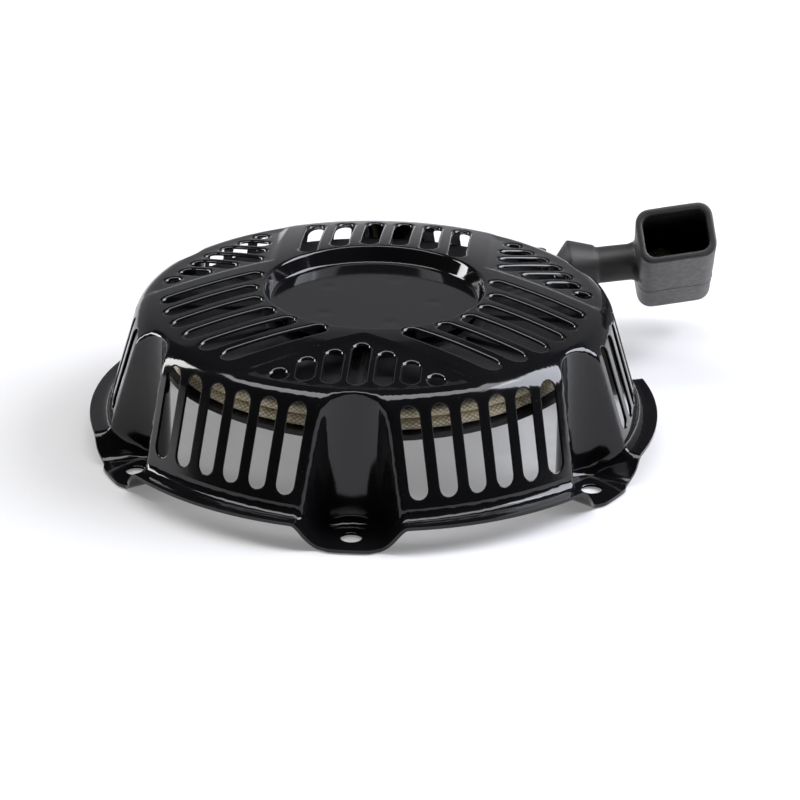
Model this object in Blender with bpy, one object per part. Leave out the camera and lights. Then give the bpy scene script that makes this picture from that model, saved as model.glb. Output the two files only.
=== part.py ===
"""Recoil starter for a small four-stroke engine.

A pressed-steel cooling cover carries a sprung rope reel on a central post. Pulling the rubber grip
turns the reel clockwise, seen from above, and the two pawls under it swing out into the engine's cup.

Metres, +Z up. The origin is the centre of the bolt circle, on the plane that the six feet rest on.
Angles on the cover are headings: 0 points along -Y and they grow towards +X.
"""

import math

import bmesh
import bpy
from mathutils import Matrix, Vector

MM = 0.001
GAP = 0.3 * MM  # between pieces that touch
OVERCUT = 2.0 * MM  # how far a cutter runs past the face it opens

# --- cover: one pressing of steel sheet ---
SHEET = 1.2 * MM
BOLT_CIRCLE_R = 92.0 * MM
FEET = 6
BOLT_HOLE_R = 3.6 * MM
FLANGE_R = BOLT_CIRCLE_R + 10.0 * MM
FOOT_CORNER_R = FLANGE_R - 1.4 * MM
FOOT_HALF_ANGLE = 6.1
RAMP_END_ANGLE = 10.7
FLANGE_LIFT = 8.3 * MM  # flange above the feet
WALL_FOOT_FILLET = 3.4 * MM
CREST_Z = 55.7 * MM
WALL_TOP_R = BOLT_CIRCLE_R - 7.2 * MM
WALL_TOP_Z = CREST_Z - 9.4 * MM
WALL_SPREAD = 10.9 * MM  # how much wider the wall is at the flange than at its top
PANEL_BOW_R = 120.0 * MM
FLUTE_R = 14.1 * MM
FLUTE_CENTRE_R = BOLT_CIRCLE_R + 3.0 * MM
SHOULDER_R = 8.0 * MM
DOME_EDGE_R = WALL_TOP_R - 9.8 * MM
DOME_DROP = 4.5 * MM
CREST_R = 40.6 * MM
RECESS_FLOOR_R = 37.1 * MM
RECESS_DEPTH = 5.8 * MM
RECESS_DRAFT = 1.8 * MM
CREST_ROUND = 1.1 * MM  # height of the rounded edge between recess and dome

# --- cooling slots ---
WALL_SLOTS = 6
WALL_SLOT_PITCH = 10.4 * MM
WALL_SLOT_WIDTH = 6.3 * MM
WALL_SLOT_LOW = 15.9 * MM
BANDS = 3
BAND_HALF_WIDTH = 37.5 * MM
BAND_STEP_WIDTH = 3.4 * MM
BAND_STEP_DROP = 0.9 * MM
LONG_SLOTS = 6
LONG_SLOT_PITCH = 10.9 * MM
LONG_SLOT_WIDTH = 6.2 * MM
LONG_SLOT_INNER_R = 41.6 * MM
SHORT_SLOT_PITCH = 8.9 * MM
SHORT_SLOT_WIDTH = 5.8 * MM
SHORT_SLOT_STARTS = (49.7 * MM, 54.7 * MM, 59.8 * MM, 66.6 * MM)  # middle slot first

ROUNDEST_SHORT_SLOT = 1.02  # length over width of the slot beside each foot

# --- rope and its line out of the cover ---
ROPE_R = 2.1 * MM
WIND_R = WALL_TOP_R - 12.8 * MM  # centre of the rope in the outer layer
PULL_HEADING = math.radians(7.5)  # about +Z, from +X
PULL_RISE = math.radians(5.5)
OUTLET_REACH = WALL_TOP_R - 15.8 * MM  # outlet face, measured along the pull from abreast of the post
OUTLET_ASIDE = WIND_R - 7.0 * MM  # pull line to the left of the post, looking along the pull
OUTLET_Z = 35.1 * MM
OUTLET_HALF_WIDTH = ROPE_R + 6.3 * MM
OUTLET_HALF_HEIGHT = OUTLET_HALF_WIDTH
OUTLET_EDGE_R = 2.5 * MM
OUTLET_STRAIGHT = 4.0 * MM  # rope behind the outlet's face that already lies on the pull line

# --- rope guide: flared eyelet in the outlet face ---
EYELET_BORE_R = ROPE_R + 0.9 * MM
EYELET_R = EYELET_BORE_R + 2.0 * MM
EYELET_FLARE_R = EYELET_R + 1.8 * MM
EYELET_LIP = 1.4 * MM
EYELET_THROAT = 0.8 * MM  # how far the bore opens before it flares
EYELET_ROUND = 0.4 * MM

# --- grip: one rubber moulding ---
GRIP_SEAT = 2.1 * MM  # nose tip ahead of the outlet face
NOSE_LENGTH = 5.5 * MM
STOPPER_R = 10.4 * MM
STOPPER_LAND = 0.7 * MM  # straight edge of the stopper
FLARE_LENGTH = 9.9 * MM
NECK_R = 6.85 * MM
NECK_LENGTH = 15.2 * MM
BAR_LENGTH = 79.0 * MM
BAR_DEPTH = 28.9 * MM  # along the pull
BAR_THICKNESS = 21.1 * MM
BAR_CORNER_R = 5.5 * MM
BAR_WALL = 3.0 * MM
BAR_END_ROUND = 6.0 * MM
BAR_RIM_ROUND = 0.8 * MM
BAR_LEAST_CORNER_R = 1.0 * MM
BAR_ROLL = math.radians(35.1)
BAR_LEAN = math.radians(-3.0)
BAR_TWIST = math.radians(1.9)
GRIP_BORE_R = ROPE_R + 0.5 * MM
GRIP_WASHER_R = 6.2 * MM
GRIP_WASHER_T = 1.2 * MM
KNOT_R = ROPE_R + 2.5 * MM
KNOT_TAIL = 1.5 * MM  # rope that shows between the drum and its knot

# --- centre post and its fastening ---
POST_R = 7.0 * MM
POST_END_Z = 16.6 * MM
POST_PLATE_R = 27.0 * MM
POST_PLATE_T = 1.6 * MM
SCREW_R = 2.7 * MM
SCREW_LENGTH = 17.0 * MM
SCREW_HEAD_ACROSS = 10.0 * MM
SCREW_HEAD_T = 4.5 * MM
WASHER_R = POST_R + 3.5 * MM
WASHER_T = 1.2 * MM

# --- reel ---
REEL_R = WIND_R + ROPE_R + 1.9 * MM
REEL_FLANGE_T = 2.0 * MM
REEL_RIB_STOP = 2.0 * MM  # how far the ribs stop short of the rim
REEL_LOW_Z = 29.4 * MM  # underside of the lower flange
ROPE_LAYERS = 2
ROPE_STACK = 2  # strands side by side in the groove
GROOVE_SPARE = 2.2 * MM  # room above the wound strands
DRUM_WALL = 3.0 * MM
CHAMBER_R = 36.5 * MM
CHAMBER_WALL = 3.5 * MM
CHAMBER_TOP_Z = 46.0 * MM
CHAMBER_FLOOR_Z = 32.0 * MM
DECK_Z = 28.0 * MM  # underside of the deck that carries the pawls
DECK_R = 44.0 * MM
HUB_R = POST_R + 4.0 * MM
HUB_END_Z = 23.0 * MM
REEL_RIBS = 12
RIB_T = 1.8 * MM
RIB_H = 1.5 * MM

# --- main spring ---
SPRING_T = 0.8 * MM
SPRING_TURNS = 7
SPRING_INNER_R = POST_R + 2.5 * MM
SPRING_OUTER_R = 34.5 * MM
SPRING_SIDE_GAP = 0.6 * MM

# --- ratchet under the reel ---
PAWL_PIVOT_R = 30.0 * MM
PAWL_HEADINGS = (40.0, 220.0)
PAWL_PIN_R = 3.0 * MM
PAWL_EYE_R = PAWL_PIN_R + 2.4 * MM
PAWL_LENGTH = 19.0 * MM
PAWL_TIP_R = 2.2 * MM
PAWL_LEAN = math.radians(12.0)  # tip inwards of the tangent at rest
PAWL_T = 3.8 * MM
PAWL_LOW_Z = 22.4 * MM
PAWL_PEG_R = 1.4 * MM
PAWL_PEG_REACH = 12.0 * MM
PAWL_SWING = math.radians(28.0)
GUIDE_TURN = math.radians(35.0)
GUIDE_R = 31.0 * MM
GUIDE_T = 1.6 * MM
GUIDE_TOP_Z = 21.3 * MM
GUIDE_SLOT_CLEAR = 0.6 * MM
THRUST_WASHER_T = 1.0 * MM
PAWL_SPRING_R = 4.2 * MM
PAWL_SPRING_WIRE_R = 0.25 * MM
PAWL_SPRING_TURNS = 1.0
PAWL_SPRING_LEG = 9.0 * MM
FRICTION_WIRE_R = 0.5 * MM
FRICTION_TURNS = 1.25

# --- fineness of the solids ---
TURN_STEPS = 48
SMALL_STEPS = 20
COVER_ANGLES = (0.0, 3.2, 6.1, 8.4, 10.7, 18.5)  # to each side of a foot, then the panel centre

# --- derived sizes ---
FOOT_TOP_Z = SHEET
FLANGE_TOP_Z = FOOT_TOP_Z + FLANGE_LIFT
WALL_DRAFT = math.atan2(WALL_SPREAD, WALL_TOP_Z - FLANGE_TOP_Z)
RECESS_FLOOR_Z = CREST_Z - RECESS_DEPTH
DRUM_R = WIND_R - (2 * ROPE_LAYERS - 1) * ROPE_R - GAP
GROOVE_LOW_Z = REEL_LOW_Z + REEL_FLANGE_T
ROPE_MIDDLE_Z = GROOVE_LOW_Z + GAP + ROPE_STACK * ROPE_R
GROOVE_HIGH_Z = ROPE_MIDDLE_Z + ROPE_STACK * ROPE_R + GAP + GROOVE_SPARE
REEL_TOP_Z = GROOVE_HIGH_Z + REEL_FLANGE_T
SCREW_WASHER_TOP_Z = POST_END_Z - GAP
SCREW_HEAD_TOP_Z = SCREW_WASHER_TOP_Z - WASHER_T - GAP
PLATE_TOP_Z = RECESS_FLOOR_Z - SHEET - GAP
POST_TOP_Z = PLATE_TOP_Z - POST_PLATE_T - GAP
BAR_CENTRE = NOSE_LENGTH + FLARE_LENGTH + NECK_LENGTH + BAR_DEPTH / 2


def heading(angle):
    """Unit vector on the ground plane at a heading in degrees: 0 is -Y, 90 is +X."""
    turn = math.radians(angle)
    return Vector((math.sin(turn), -math.cos(turn), 0.0))


def heading_of(point):
    return math.degrees(math.atan2(point.x, -point.y))


def from_nearest(angle, step):
    """Signed angle from the nearest multiple of step."""
    return angle - step * round(angle / step)


# ---------------------------------------------------------------- scene helpers


def clear_scene():
    for obj in list(bpy.data.objects):
        bpy.data.objects.remove(obj, do_unlink=True)


def paint(name, colour, roughness, metallic=0.0):
    """A Principled material from a linear colour triple."""
    made = bpy.data.materials.new(name)
    made.use_nodes = True
    shader = made.node_tree.nodes["Principled BSDF"]
    shader.inputs["Base Color"].default_value = (*colour, 1.0)
    shader.inputs["Roughness"].default_value = roughness
    shader.inputs["Metallic"].default_value = metallic
    made.diffuse_color = (*colour, 1.0)
    return made


def add_object(name, bm, material, parent=None, smooth_below=35.0):
    """Turns a bmesh into a named object, shaded smooth except at its corners."""
    mesh = bpy.data.meshes.new(name)
    bm.to_mesh(mesh)
    bm.free()
    obj = bpy.data.objects.new(name, mesh)
    bpy.context.scene.collection.objects.link(obj)
    if material:
        mesh.materials.append(material)
    mesh.shade_smooth()
    mesh.set_sharp_from_angle(angle=math.radians(smooth_below))
    obj.parent = parent
    return obj


def add_empty(name, location, rotation=None, parent=None):
    empty = bpy.data.objects.new(name, None)
    bpy.context.scene.collection.objects.link(empty)
    empty.parent = parent
    empty.location = location
    if rotation:
        empty.rotation_mode = "QUATERNION"
        empty.rotation_quaternion = rotation
    return empty


def combine(obj, bm, operation, name, parent=None):
    """Cuts or joins obj with the closed shape in bm, which stays as a hidden helper."""
    tool = add_object(name, bm, None, parent)
    tool.hide_render = True
    tool.display_type = "WIRE"
    modifier = obj.modifiers.new(name, "BOOLEAN")
    modifier.operation = operation
    modifier.solver = "EXACT"
    modifier.object = tool
    return tool


# ---------------------------------------------------------------- shape helpers


def lathe(profile, steps, axis="Z"):
    """Turns a closed outline of (radius, height) points about +Z, or about +X if axis is X."""
    bm = bmesh.new()
    ring = [bm.verts.new((r, 0.0, z)) for r, z in profile]
    edges = [bm.edges.new((ring[i - 1], ring[i])) for i in range(len(ring))]
    bmesh.ops.spin(
        bm,
        geom=ring + edges,
        axis=(0, 0, 1),
        cent=(0, 0, 0),
        angle=2 * math.pi,
        steps=steps,
        use_merge=True,
    )
    bmesh.ops.remove_doubles(bm, verts=bm.verts[:], dist=1e-7)
    loose = [e for e in bm.edges if not e.link_faces]
    bmesh.ops.delete(bm, geom=loose, context="EDGES")
    if axis == "X":
        bmesh.ops.rotate(bm, verts=bm.verts[:], matrix=Matrix.Rotation(math.pi / 2, 3, "Y"))
    bmesh.ops.recalc_face_normals(bm, faces=bm.faces[:])
    return bm


def prism(bm, outline, height, place=None):
    """Adds a prism of the flat outline to bm, standing on z = 0 before place moves it."""
    verts = [bm.verts.new((x, y, 0.0)) for x, y in outline]
    face = bm.faces.new(verts)
    raised = bmesh.ops.extrude_face_region(bm, geom=[face])
    top = [g for g in raised["geom"] if isinstance(g, bmesh.types.BMVert)]
    bmesh.ops.translate(bm, verts=top, vec=(0, 0, height))
    if place is not None:
        bmesh.ops.transform(bm, verts=verts + top, matrix=place)


def finish_prisms(bm):
    bmesh.ops.recalc_face_normals(bm, faces=bm.faces[:])
    return bm


def circle(radius, steps, centre=(0.0, 0.0)):
    turns = [2 * math.pi * (i + 0.5) / steps for i in range(steps)]
    return [(centre[0] + radius * math.cos(t), centre[1] + radius * math.sin(t)) for t in turns]


def capsule(start, end, start_r, end_r, steps):
    """Outline of two discs and the tangents between them, with steps segments round each end."""
    dx, dy = end[0] - start[0], end[1] - start[1]
    along = math.atan2(dy, dx)
    open_by = math.acos((start_r - end_r) / math.hypot(dx, dy))
    points = []
    for i in range(steps + 1):
        turn = along - open_by + 2 * open_by * i / steps
        points.append((end[0] + end_r * math.cos(turn), end[1] + end_r * math.sin(turn)))
    for i in range(steps + 1):
        turn = along + open_by + 2 * (math.pi - open_by) * i / steps
        points.append((start[0] + start_r * math.cos(turn), start[1] + start_r * math.sin(turn)))
    return points


def rounded_rectangle(width, depth, radius, steps=3):
    points = []
    for sx, sy, start in ((1, 1, 0), (-1, 1, 90), (-1, -1, 180), (1, -1, 270)):
        for i in range(steps + 1):
            turn = math.radians(start + 90 * i / steps)
            x = sx * (width / 2 - radius) + radius * math.cos(turn)
            y = sy * (depth / 2 - radius) + radius * math.sin(turn)
            points.append((x, y))
    return points


def fillet(before, corner, after, radius, steps):
    """Points of an arc that rounds the corner between two straight lines."""
    to_before = (Vector(before) - Vector(corner)).normalized()
    to_after = (Vector(after) - Vector(corner)).normalized()
    half = to_before.angle(to_after) / 2
    centre = Vector(corner) + (to_before + to_after).normalized() * (radius / math.sin(half))
    first = Vector(corner) + to_before * (radius / math.tan(half)) - centre
    last = Vector(corner) + to_after * (radius / math.tan(half)) - centre
    points = []
    for i in range(steps + 1):
        spoke = first.slerp(last, i / steps).normalized() * radius
        points.append(tuple(centre + spoke))
    return points


def tube(name, points, radius, material, parent=None, sides=2):
    """A round wire or rope along the points, with closed ends."""
    curve = bpy.data.curves.new(name, "CURVE")
    curve.dimensions = "3D"
    curve.bevel_depth = radius
    curve.bevel_resolution = sides
    curve.use_fill_caps = True
    spline = curve.splines.new("POLY")
    spline.points.add(len(points) - 1)
    for spot, point in zip(spline.points, points):
        spot.co = (*point, 1.0)
    curve.materials.append(material)
    obj = bpy.data.objects.new(name, curve)
    bpy.context.scene.collection.objects.link(obj)
    obj.parent = parent
    return obj


# ---------------------------------------------------------------- cover surface


def dome_z(r):
    """Height of the top outside the recess, before the bands' steps."""
    share = max(0.0, r - CREST_R) / (DOME_EDGE_R - CREST_R)
    return CREST_Z - DOME_DROP * share**1.5


def wall_r(angle, z):
    """Radius of the outer wall at a heading: bowed panels, cut back by the flute over each foot."""
    r = WALL_TOP_R + (WALL_TOP_Z - z) * math.tan(WALL_DRAFT)
    to_foot = math.radians(abs(from_nearest(angle, 360 / FEET)))
    from_panel = math.pi / FEET - to_foot
    r += (r * math.sin(from_panel)) ** 2 / 2 * (1 / r - 1 / PANEL_BOW_R)
    reach = FLUTE_CENTRE_R * math.sin(to_foot)
    if reach < FLUTE_R:
        r = min(r, FLUTE_CENTRE_R * math.cos(to_foot) - math.sqrt(FLUTE_R**2 - reach**2))
    return r


def base_z(angle):
    """Top face of the feet, the ramps beside them and the flange between them."""
    to_foot = abs(from_nearest(angle, 360 / FEET))
    share = (to_foot - FOOT_HALF_ANGLE) / (RAMP_END_ANGLE - FOOT_HALF_ANGLE)
    return FOOT_TOP_Z + FLANGE_LIFT * min(1.0, max(0.0, share))


def edge_r(angle):
    at_corner = abs(abs(from_nearest(angle, 360 / FEET)) - FOOT_HALF_ANGLE) < 0.5
    return FOOT_CORNER_R if at_corner else FLANGE_R


def shoulder_arc():
    """Arc that turns the domed top down into the wall, as (radius, height) points."""
    slope = 1.5 * DOME_DROP / (DOME_EDGE_R - CREST_R)
    top = Vector((DOME_EDGE_R, dome_z(DOME_EDGE_R)))
    lean = math.tan(WALL_DRAFT)
    rise = WALL_TOP_Z - top.y + slope * (WALL_TOP_R - top.x)
    corner_z = WALL_TOP_Z - rise / (1 - slope * lean)
    corner = Vector((WALL_TOP_R + (WALL_TOP_Z - corner_z) * lean, corner_z))
    wall = corner + Vector((lean, -1.0))
    return fillet(top, corner, wall, SHOULDER_R, 2)


def cover_rows():
    """Functions of the heading that give (radius, height), from the recess floor to the rim."""
    rows = [
        lambda a: (RECESS_FLOOR_R, RECESS_FLOOR_Z),
        lambda a: (RECESS_FLOOR_R + RECESS_DRAFT, CREST_Z - CREST_ROUND),
        lambda a: (CREST_R, CREST_Z),
    ]
    for r in ((CREST_R + DOME_EDGE_R) / 2, DOME_EDGE_R):
        rows.append(lambda a, r=r: (r, dome_z(r)))
    arc = shoulder_arc()
    for r, z in arc:
        rows.append(lambda a, r=r, z=z: (min(r, wall_r(a, z)), z))
    wall_high = arc[-1][1]
    wall_low = FLANGE_TOP_Z + WALL_FOOT_FILLET
    for share in (0.33, 0.67):
        z = wall_high + (wall_low - wall_high) * share
        rows.append(lambda a, z=z: (wall_r(a, z), z))
    for lift, out in ((1.0, 0.0), (0.27, 0.35), (0.0, 1.0)):
        rows.append(lambda a, lift=lift, out=out: foot_fillet(a, lift, out))
    rows.append(lambda a: (edge_r(a), base_z(a)))
    return rows


def foot_fillet(angle, lift, out):
    """Point of the hollow curve from the wall out to the foot or flange."""
    z = base_z(angle)
    r = wall_r(angle, z + WALL_FOOT_FILLET)
    return r + WALL_FOOT_FILLET * out, z + WALL_FOOT_FILLET * lift


def step_distance(point):
    """How far a point of the top lies outside the two bands beside it, past their half width."""
    off = math.radians(abs(from_nearest(heading_of(point), 360 / BANDS)))
    return point.xy.length * math.sin(math.pi / BANDS - off) - BAND_HALF_WIDTH


def sink_between_bands(bm):
    """Steps the three triangles between the raised bands down, fading out over the shoulder."""
    for number in range(BANDS):
        middle = number * 360 / BANDS
        for side in (-1, 1):
            across = heading(middle - side * 30)
            for distance in (BAND_HALF_WIDTH, BAND_HALF_WIDTH + BAND_STEP_WIDTH):
                faces = [f for f in bm.faces if on_top_beside(f, middle, side)]
                geom = faces + list({e for f in faces for e in f.edges})
                geom += list({v for f in faces for v in f.verts})
                spot = across * distance
                bmesh.ops.bisect_plane(bm, geom=geom, dist=1e-6, plane_co=spot, plane_no=across)
    for vert in bm.verts:
        r = vert.co.xy.length
        if r < CREST_R + 1e-6 or vert.co.z < WALL_TOP_Z:
            continue
        share = min(1.0, max(0.0, step_distance(vert.co) / BAND_STEP_WIDTH))
        fade = min(1.0, max(0.0, (WALL_TOP_R - r) / (WALL_TOP_R - DOME_EDGE_R)))
        vert.co.z -= BAND_STEP_DROP * share * fade


def on_top_beside(face, middle, side):
    centre = face.calc_center_median()
    off = from_nearest(heading_of(centre) - middle, 360)
    on_top = centre.z > WALL_TOP_Z and centre.xy.length > CREST_R
    return on_top and 0 < side * off < 60


def cover_shell():
    """Outer skin of the cover, from the recess floor out to the rim, as one open sheet."""
    angles = []
    for foot in range(FEET):
        middle = foot * 360 / FEET
        angles += [middle + a for a in COVER_ANGLES]
        angles.append(middle + 180 / FEET)
        angles += [middle + 360 / FEET - a for a in reversed(COVER_ANGLES[1:])]
    rows = cover_rows()
    bm = bmesh.new()
    r, z = rows[0](0.0)
    floor = bm.faces.new([bm.verts.new(heading(a) * r + Vector((0, 0, z))) for a in angles])
    ring = floor.edges[:]
    for row in rows[1:]:
        made = bmesh.ops.extrude_edge_only(bm, edges=ring)["geom"]
        fresh = {g for g in made if isinstance(g, bmesh.types.BMVert)}
        ring = [g for g in made if isinstance(g, bmesh.types.BMEdge) and fresh.issuperset(g.verts)]
        for vert in fresh:
            angle = heading_of(vert.co)
            r, z = row(angle)
            vert.co = heading(angle) * r + Vector((0, 0, z))
    bmesh.ops.recalc_face_normals(bm, faces=bm.faces[:])
    if floor.normal.z < 0:
        bmesh.ops.reverse_faces(bm, faces=bm.faces[:])
    sink_between_bands(bm)
    return bm


# ---------------------------------------------------------------- cover openings


def bolt_holes():
    bm = bmesh.new()
    for foot in range(FEET):
        spot = heading(foot * 360 / FEET) * BOLT_CIRCLE_R
        outline = circle(BOLT_HOLE_R, 16, spot.xy)
        prism(bm, outline, SHEET + 2 * OVERCUT, Matrix.Translation((0, 0, -OVERCUT)))
    return finish_prisms(bm)


def wall_slots():
    """Upright slots through the six panels, leaving out those that the rope outlet takes."""
    bm = bmesh.new()
    low = WALL_SLOT_LOW + WALL_SLOT_WIDTH / 2
    high = WALL_TOP_Z - WALL_SLOT_WIDTH / 2
    for panel in range(FEET):
        middle = (panel + 0.5) * 360 / FEET
        out = heading(middle)
        aside = heading(middle + 90)
        place = Matrix((aside, (0, 0, 1), out)).transposed().to_4x4()
        for number in range(WALL_SLOTS):
            offset = (number - (WALL_SLOTS - 1) / 2) * WALL_SLOT_PITCH
            spot = out * WALL_TOP_R + aside * offset
            if meets_outlet(spot):
                continue
            half = WALL_SLOT_WIDTH / 2
            outline = capsule((offset, low), (offset, high), half, half, 3)
            start = place @ Matrix.Translation((0, 0, DOME_EDGE_R))
            prism(bm, outline, FLANGE_R - DOME_EDGE_R, start)
    return finish_prisms(bm)


def meets_outlet(spot):
    """Whether a wall slot at this spot would run into the rope outlet's box."""
    pull = Vector((math.cos(PULL_HEADING), math.sin(PULL_HEADING), 0))
    aside = Vector((-pull.y, pull.x, 0))
    clear = OUTLET_HALF_WIDTH + WALL_SLOT_WIDTH / 2
    return spot.dot(pull) > 0 and abs(spot.dot(aside) - OUTLET_ASIDE) < clear


def top_slots():
    """Six long slots in each raised band and seven short ones in each triangle between them."""
    bm = bmesh.new()
    outer_r = DOME_EDGE_R
    for number in range(BANDS):
        middle = (number + 0.5) * 360 / BANDS
        for slot in range(LONG_SLOTS):
            offset = (slot - (LONG_SLOTS - 1) / 2) * LONG_SLOT_PITCH
            start = math.sqrt(LONG_SLOT_INNER_R**2 - offset**2)
            end = math.sqrt(outer_r**2 - offset**2)
            add_top_slot(bm, middle, offset, start, end, LONG_SLOT_WIDTH)
        middle = number * 360 / BANDS
        count = len(SHORT_SLOT_STARTS)
        for slot in range(1 - count, count):
            offset = slot * SHORT_SLOT_PITCH
            start = SHORT_SLOT_STARTS[abs(slot)]
            least = start + ROUNDEST_SHORT_SLOT * SHORT_SLOT_WIDTH
            end = max(math.sqrt(outer_r**2 - offset**2), least)
            add_top_slot(bm, middle, offset, start, end, SHORT_SLOT_WIDTH)
    return finish_prisms(bm)


def add_top_slot(bm, middle, offset, start, end, width):
    """A slot that runs outwards at a heading, offset sideways, between two distances."""
    out, aside = heading(middle), heading(middle + 90)
    first = out * (start + width / 2) + aside * offset
    last = out * (end - width / 2) + aside * offset
    outline = capsule(first.xy, last.xy, width / 2, width / 2, 3)
    place = Matrix.Translation((0, 0, WALL_TOP_Z))
    prism(bm, outline, CREST_Z - WALL_TOP_Z + OVERCUT, place)


# ---------------------------------------------------------------- cover and rope outlet


def outlet_block(grow, back, front):
    """Rounded box about the pull line, from back to front of the outlet face."""
    bm = bmesh.new()
    outline = rounded_rectangle(
        2 * (OUTLET_HALF_HEIGHT + grow), 2 * (OUTLET_HALF_WIDTH + grow), OUTLET_EDGE_R + grow
    )
    turn = Matrix.Rotation(math.pi / 2, 4, "Y")
    prism(bm, outline, front - back, Matrix.Translation((back, 0, 0)) @ turn)
    return finish_prisms(bm)


def outlet_shell(pull_frame):
    """The block outside the wall: it is cut off at the middle of the sheet."""
    block = outlet_block(0.0, WALL_TOP_R * -0.5, 0.0)
    core = []
    for z in (0.0, CREST_Z):
        r = WALL_TOP_R + (WALL_TOP_Z - z) * math.tan(WALL_DRAFT) - SHEET / 2
        core += [(r, z)]
    core = [(0.0, 0.0), *core, (0.0, CREST_Z)]
    shell = add_object("outlet_shell", block, None, pull_frame)
    combine(shell, lathe(core, 2 * TURN_STEPS), "DIFFERENCE", "outlet_core")
    shell.hide_render = True
    shell.display_type = "WIRE"
    return shell


def make_cover(material, pull_frame):
    cover = add_object("cover", cover_shell(), material)
    wall = cover.modifiers.new("sheet", "SOLIDIFY")
    wall.thickness = SHEET
    wall.offset = -1.0
    wall.use_even_offset = True
    wall.use_quality_normals = True
    joined = cover.modifiers.new("outlet", "BOOLEAN")
    joined.operation = "UNION"
    joined.object = outlet_shell(pull_frame)
    hollow = outlet_block(-SHEET, WALL_TOP_R * -0.6, -SHEET)
    combine(cover, hollow, "DIFFERENCE", "outlet_hollow", pull_frame)
    bore = lathe(rod_outline(EYELET_R + GAP, -3 * SHEET, OVERCUT), SMALL_STEPS, "X")
    combine(cover, bore, "DIFFERENCE", "outlet_bore", pull_frame)
    combine(cover, bolt_holes(), "DIFFERENCE", "bolt_holes")
    combine(cover, wall_slots(), "DIFFERENCE", "wall_slots")
    combine(cover, top_slots(), "DIFFERENCE", "top_slots")


def rod_outline(radius, low, high):
    return [(0.0, low), (radius, low), (radius, high), (0.0, high)]


def ring_outline(inner, outer, low, high):
    return [(inner, low), (outer, low), (outer, high), (inner, high)]


def make_rope_guide(material, pull_frame):
    """Steel eyelet, flared over both faces of the outlet."""
    back = -SHEET - GAP
    lip = EYELET_LIP
    outline = [
        (EYELET_BORE_R, back / 2),
        (EYELET_BORE_R + EYELET_THROAT, back - lip * 0.8),
        (EYELET_FLARE_R - 2.5 * EYELET_ROUND, back - lip),
        (EYELET_FLARE_R - 1.5 * EYELET_ROUND, back),
        (EYELET_R, back),
        (EYELET_R, GAP),
        (EYELET_FLARE_R, GAP),
        (EYELET_FLARE_R - EYELET_ROUND, GAP + lip * 0.6),
        (EYELET_R, GAP + lip),
        (EYELET_BORE_R + EYELET_THROAT, GAP + lip * 0.7),
    ]
    add_object("rope_guide", lathe(outline, SMALL_STEPS, "X"), material, pull_frame)


# ---------------------------------------------------------------- post and screw


def make_post(steel):
    plate = lathe(ring_outline(SCREW_R, POST_PLATE_R, PLATE_TOP_Z - POST_PLATE_T, PLATE_TOP_Z), 32)
    add_object("post_plate", plate, steel)
    drill_top = SCREW_HEAD_TOP_Z + SCREW_LENGTH + 2 * GAP
    outline = [
        (0.0, POST_TOP_Z),
        (0.0, drill_top),
        (SCREW_R + GAP, drill_top),
        (SCREW_R + GAP, POST_END_Z),
        (POST_R, POST_END_Z),
        (POST_R, POST_TOP_Z),
    ]
    add_object("centre_post", lathe(outline, SMALL_STEPS), steel)


def make_screw(steel):
    washer = ring_outline(SCREW_R + GAP, WASHER_R, SCREW_WASHER_TOP_Z - WASHER_T, SCREW_WASHER_TOP_Z)
    add_object("screw_washer", lathe(washer, SMALL_STEPS), steel)
    corner_r = SCREW_HEAD_ACROSS / 2 / math.cos(math.pi / 6)
    head = bmesh.new()
    low = SCREW_HEAD_TOP_Z - SCREW_HEAD_T
    prism(head, circle(corner_r, 6), SCREW_HEAD_T, Matrix.Translation((0, 0, low)))
    screw = add_object("centre_screw", finish_prisms(head), steel)
    shank = lathe(rod_outline(SCREW_R, SCREW_HEAD_TOP_Z - MM, SCREW_HEAD_TOP_Z + SCREW_LENGTH), 16)
    combine(screw, shank, "UNION", "screw_shank")


# ---------------------------------------------------------------- reel and what it carries


def reel_outline():
    """Section of the reel: spring chamber on top, rope groove outside, pawl deck below."""
    pocket_roof = REEL_TOP_Z - 2 * REEL_FLANGE_T
    drum_inner_r = DRUM_R - DRUM_WALL
    chamber_outer_r = CHAMBER_R + CHAMBER_WALL
    return [
        (POST_R + GAP, HUB_END_Z),
        (HUB_R, HUB_END_Z),
        (HUB_R, DECK_Z),
        (DECK_R, DECK_Z),
        (DECK_R, pocket_roof),
        (drum_inner_r, pocket_roof),
        (drum_inner_r, REEL_LOW_Z),
        (REEL_R, REEL_LOW_Z),
        (REEL_R, GROOVE_LOW_Z),
        (DRUM_R, GROOVE_LOW_Z),
        (DRUM_R, GROOVE_HIGH_Z),
        (REEL_R, GROOVE_HIGH_Z),
        (REEL_R, REEL_TOP_Z),
        (chamber_outer_r, REEL_TOP_Z),
        (chamber_outer_r, CHAMBER_TOP_Z),
        (CHAMBER_R, CHAMBER_TOP_Z),
        (CHAMBER_R, CHAMBER_FLOOR_Z),
        (POST_R + GAP, CHAMBER_FLOOR_Z),
    ]


def reel_ribs():
    """Radial ribs on the top flange, from the spring chamber out to near the rim."""
    bm = bmesh.new()
    start = CHAMBER_R + CHAMBER_WALL / 2
    end = REEL_R - REEL_RIB_STOP
    outline = [(start, -RIB_T / 2), (end, -RIB_T / 2), (end, RIB_T / 2), (start, RIB_T / 2)]
    lift = Matrix.Translation((0, 0, REEL_TOP_Z - REEL_FLANGE_T / 2))
    for number in range(REEL_RIBS):
        turn = Matrix.Rotation(2 * math.pi * number / REEL_RIBS, 4, "Z")
        prism(bm, outline, RIB_H + REEL_FLANGE_T / 2, turn @ lift)
    return finish_prisms(bm)


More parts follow.
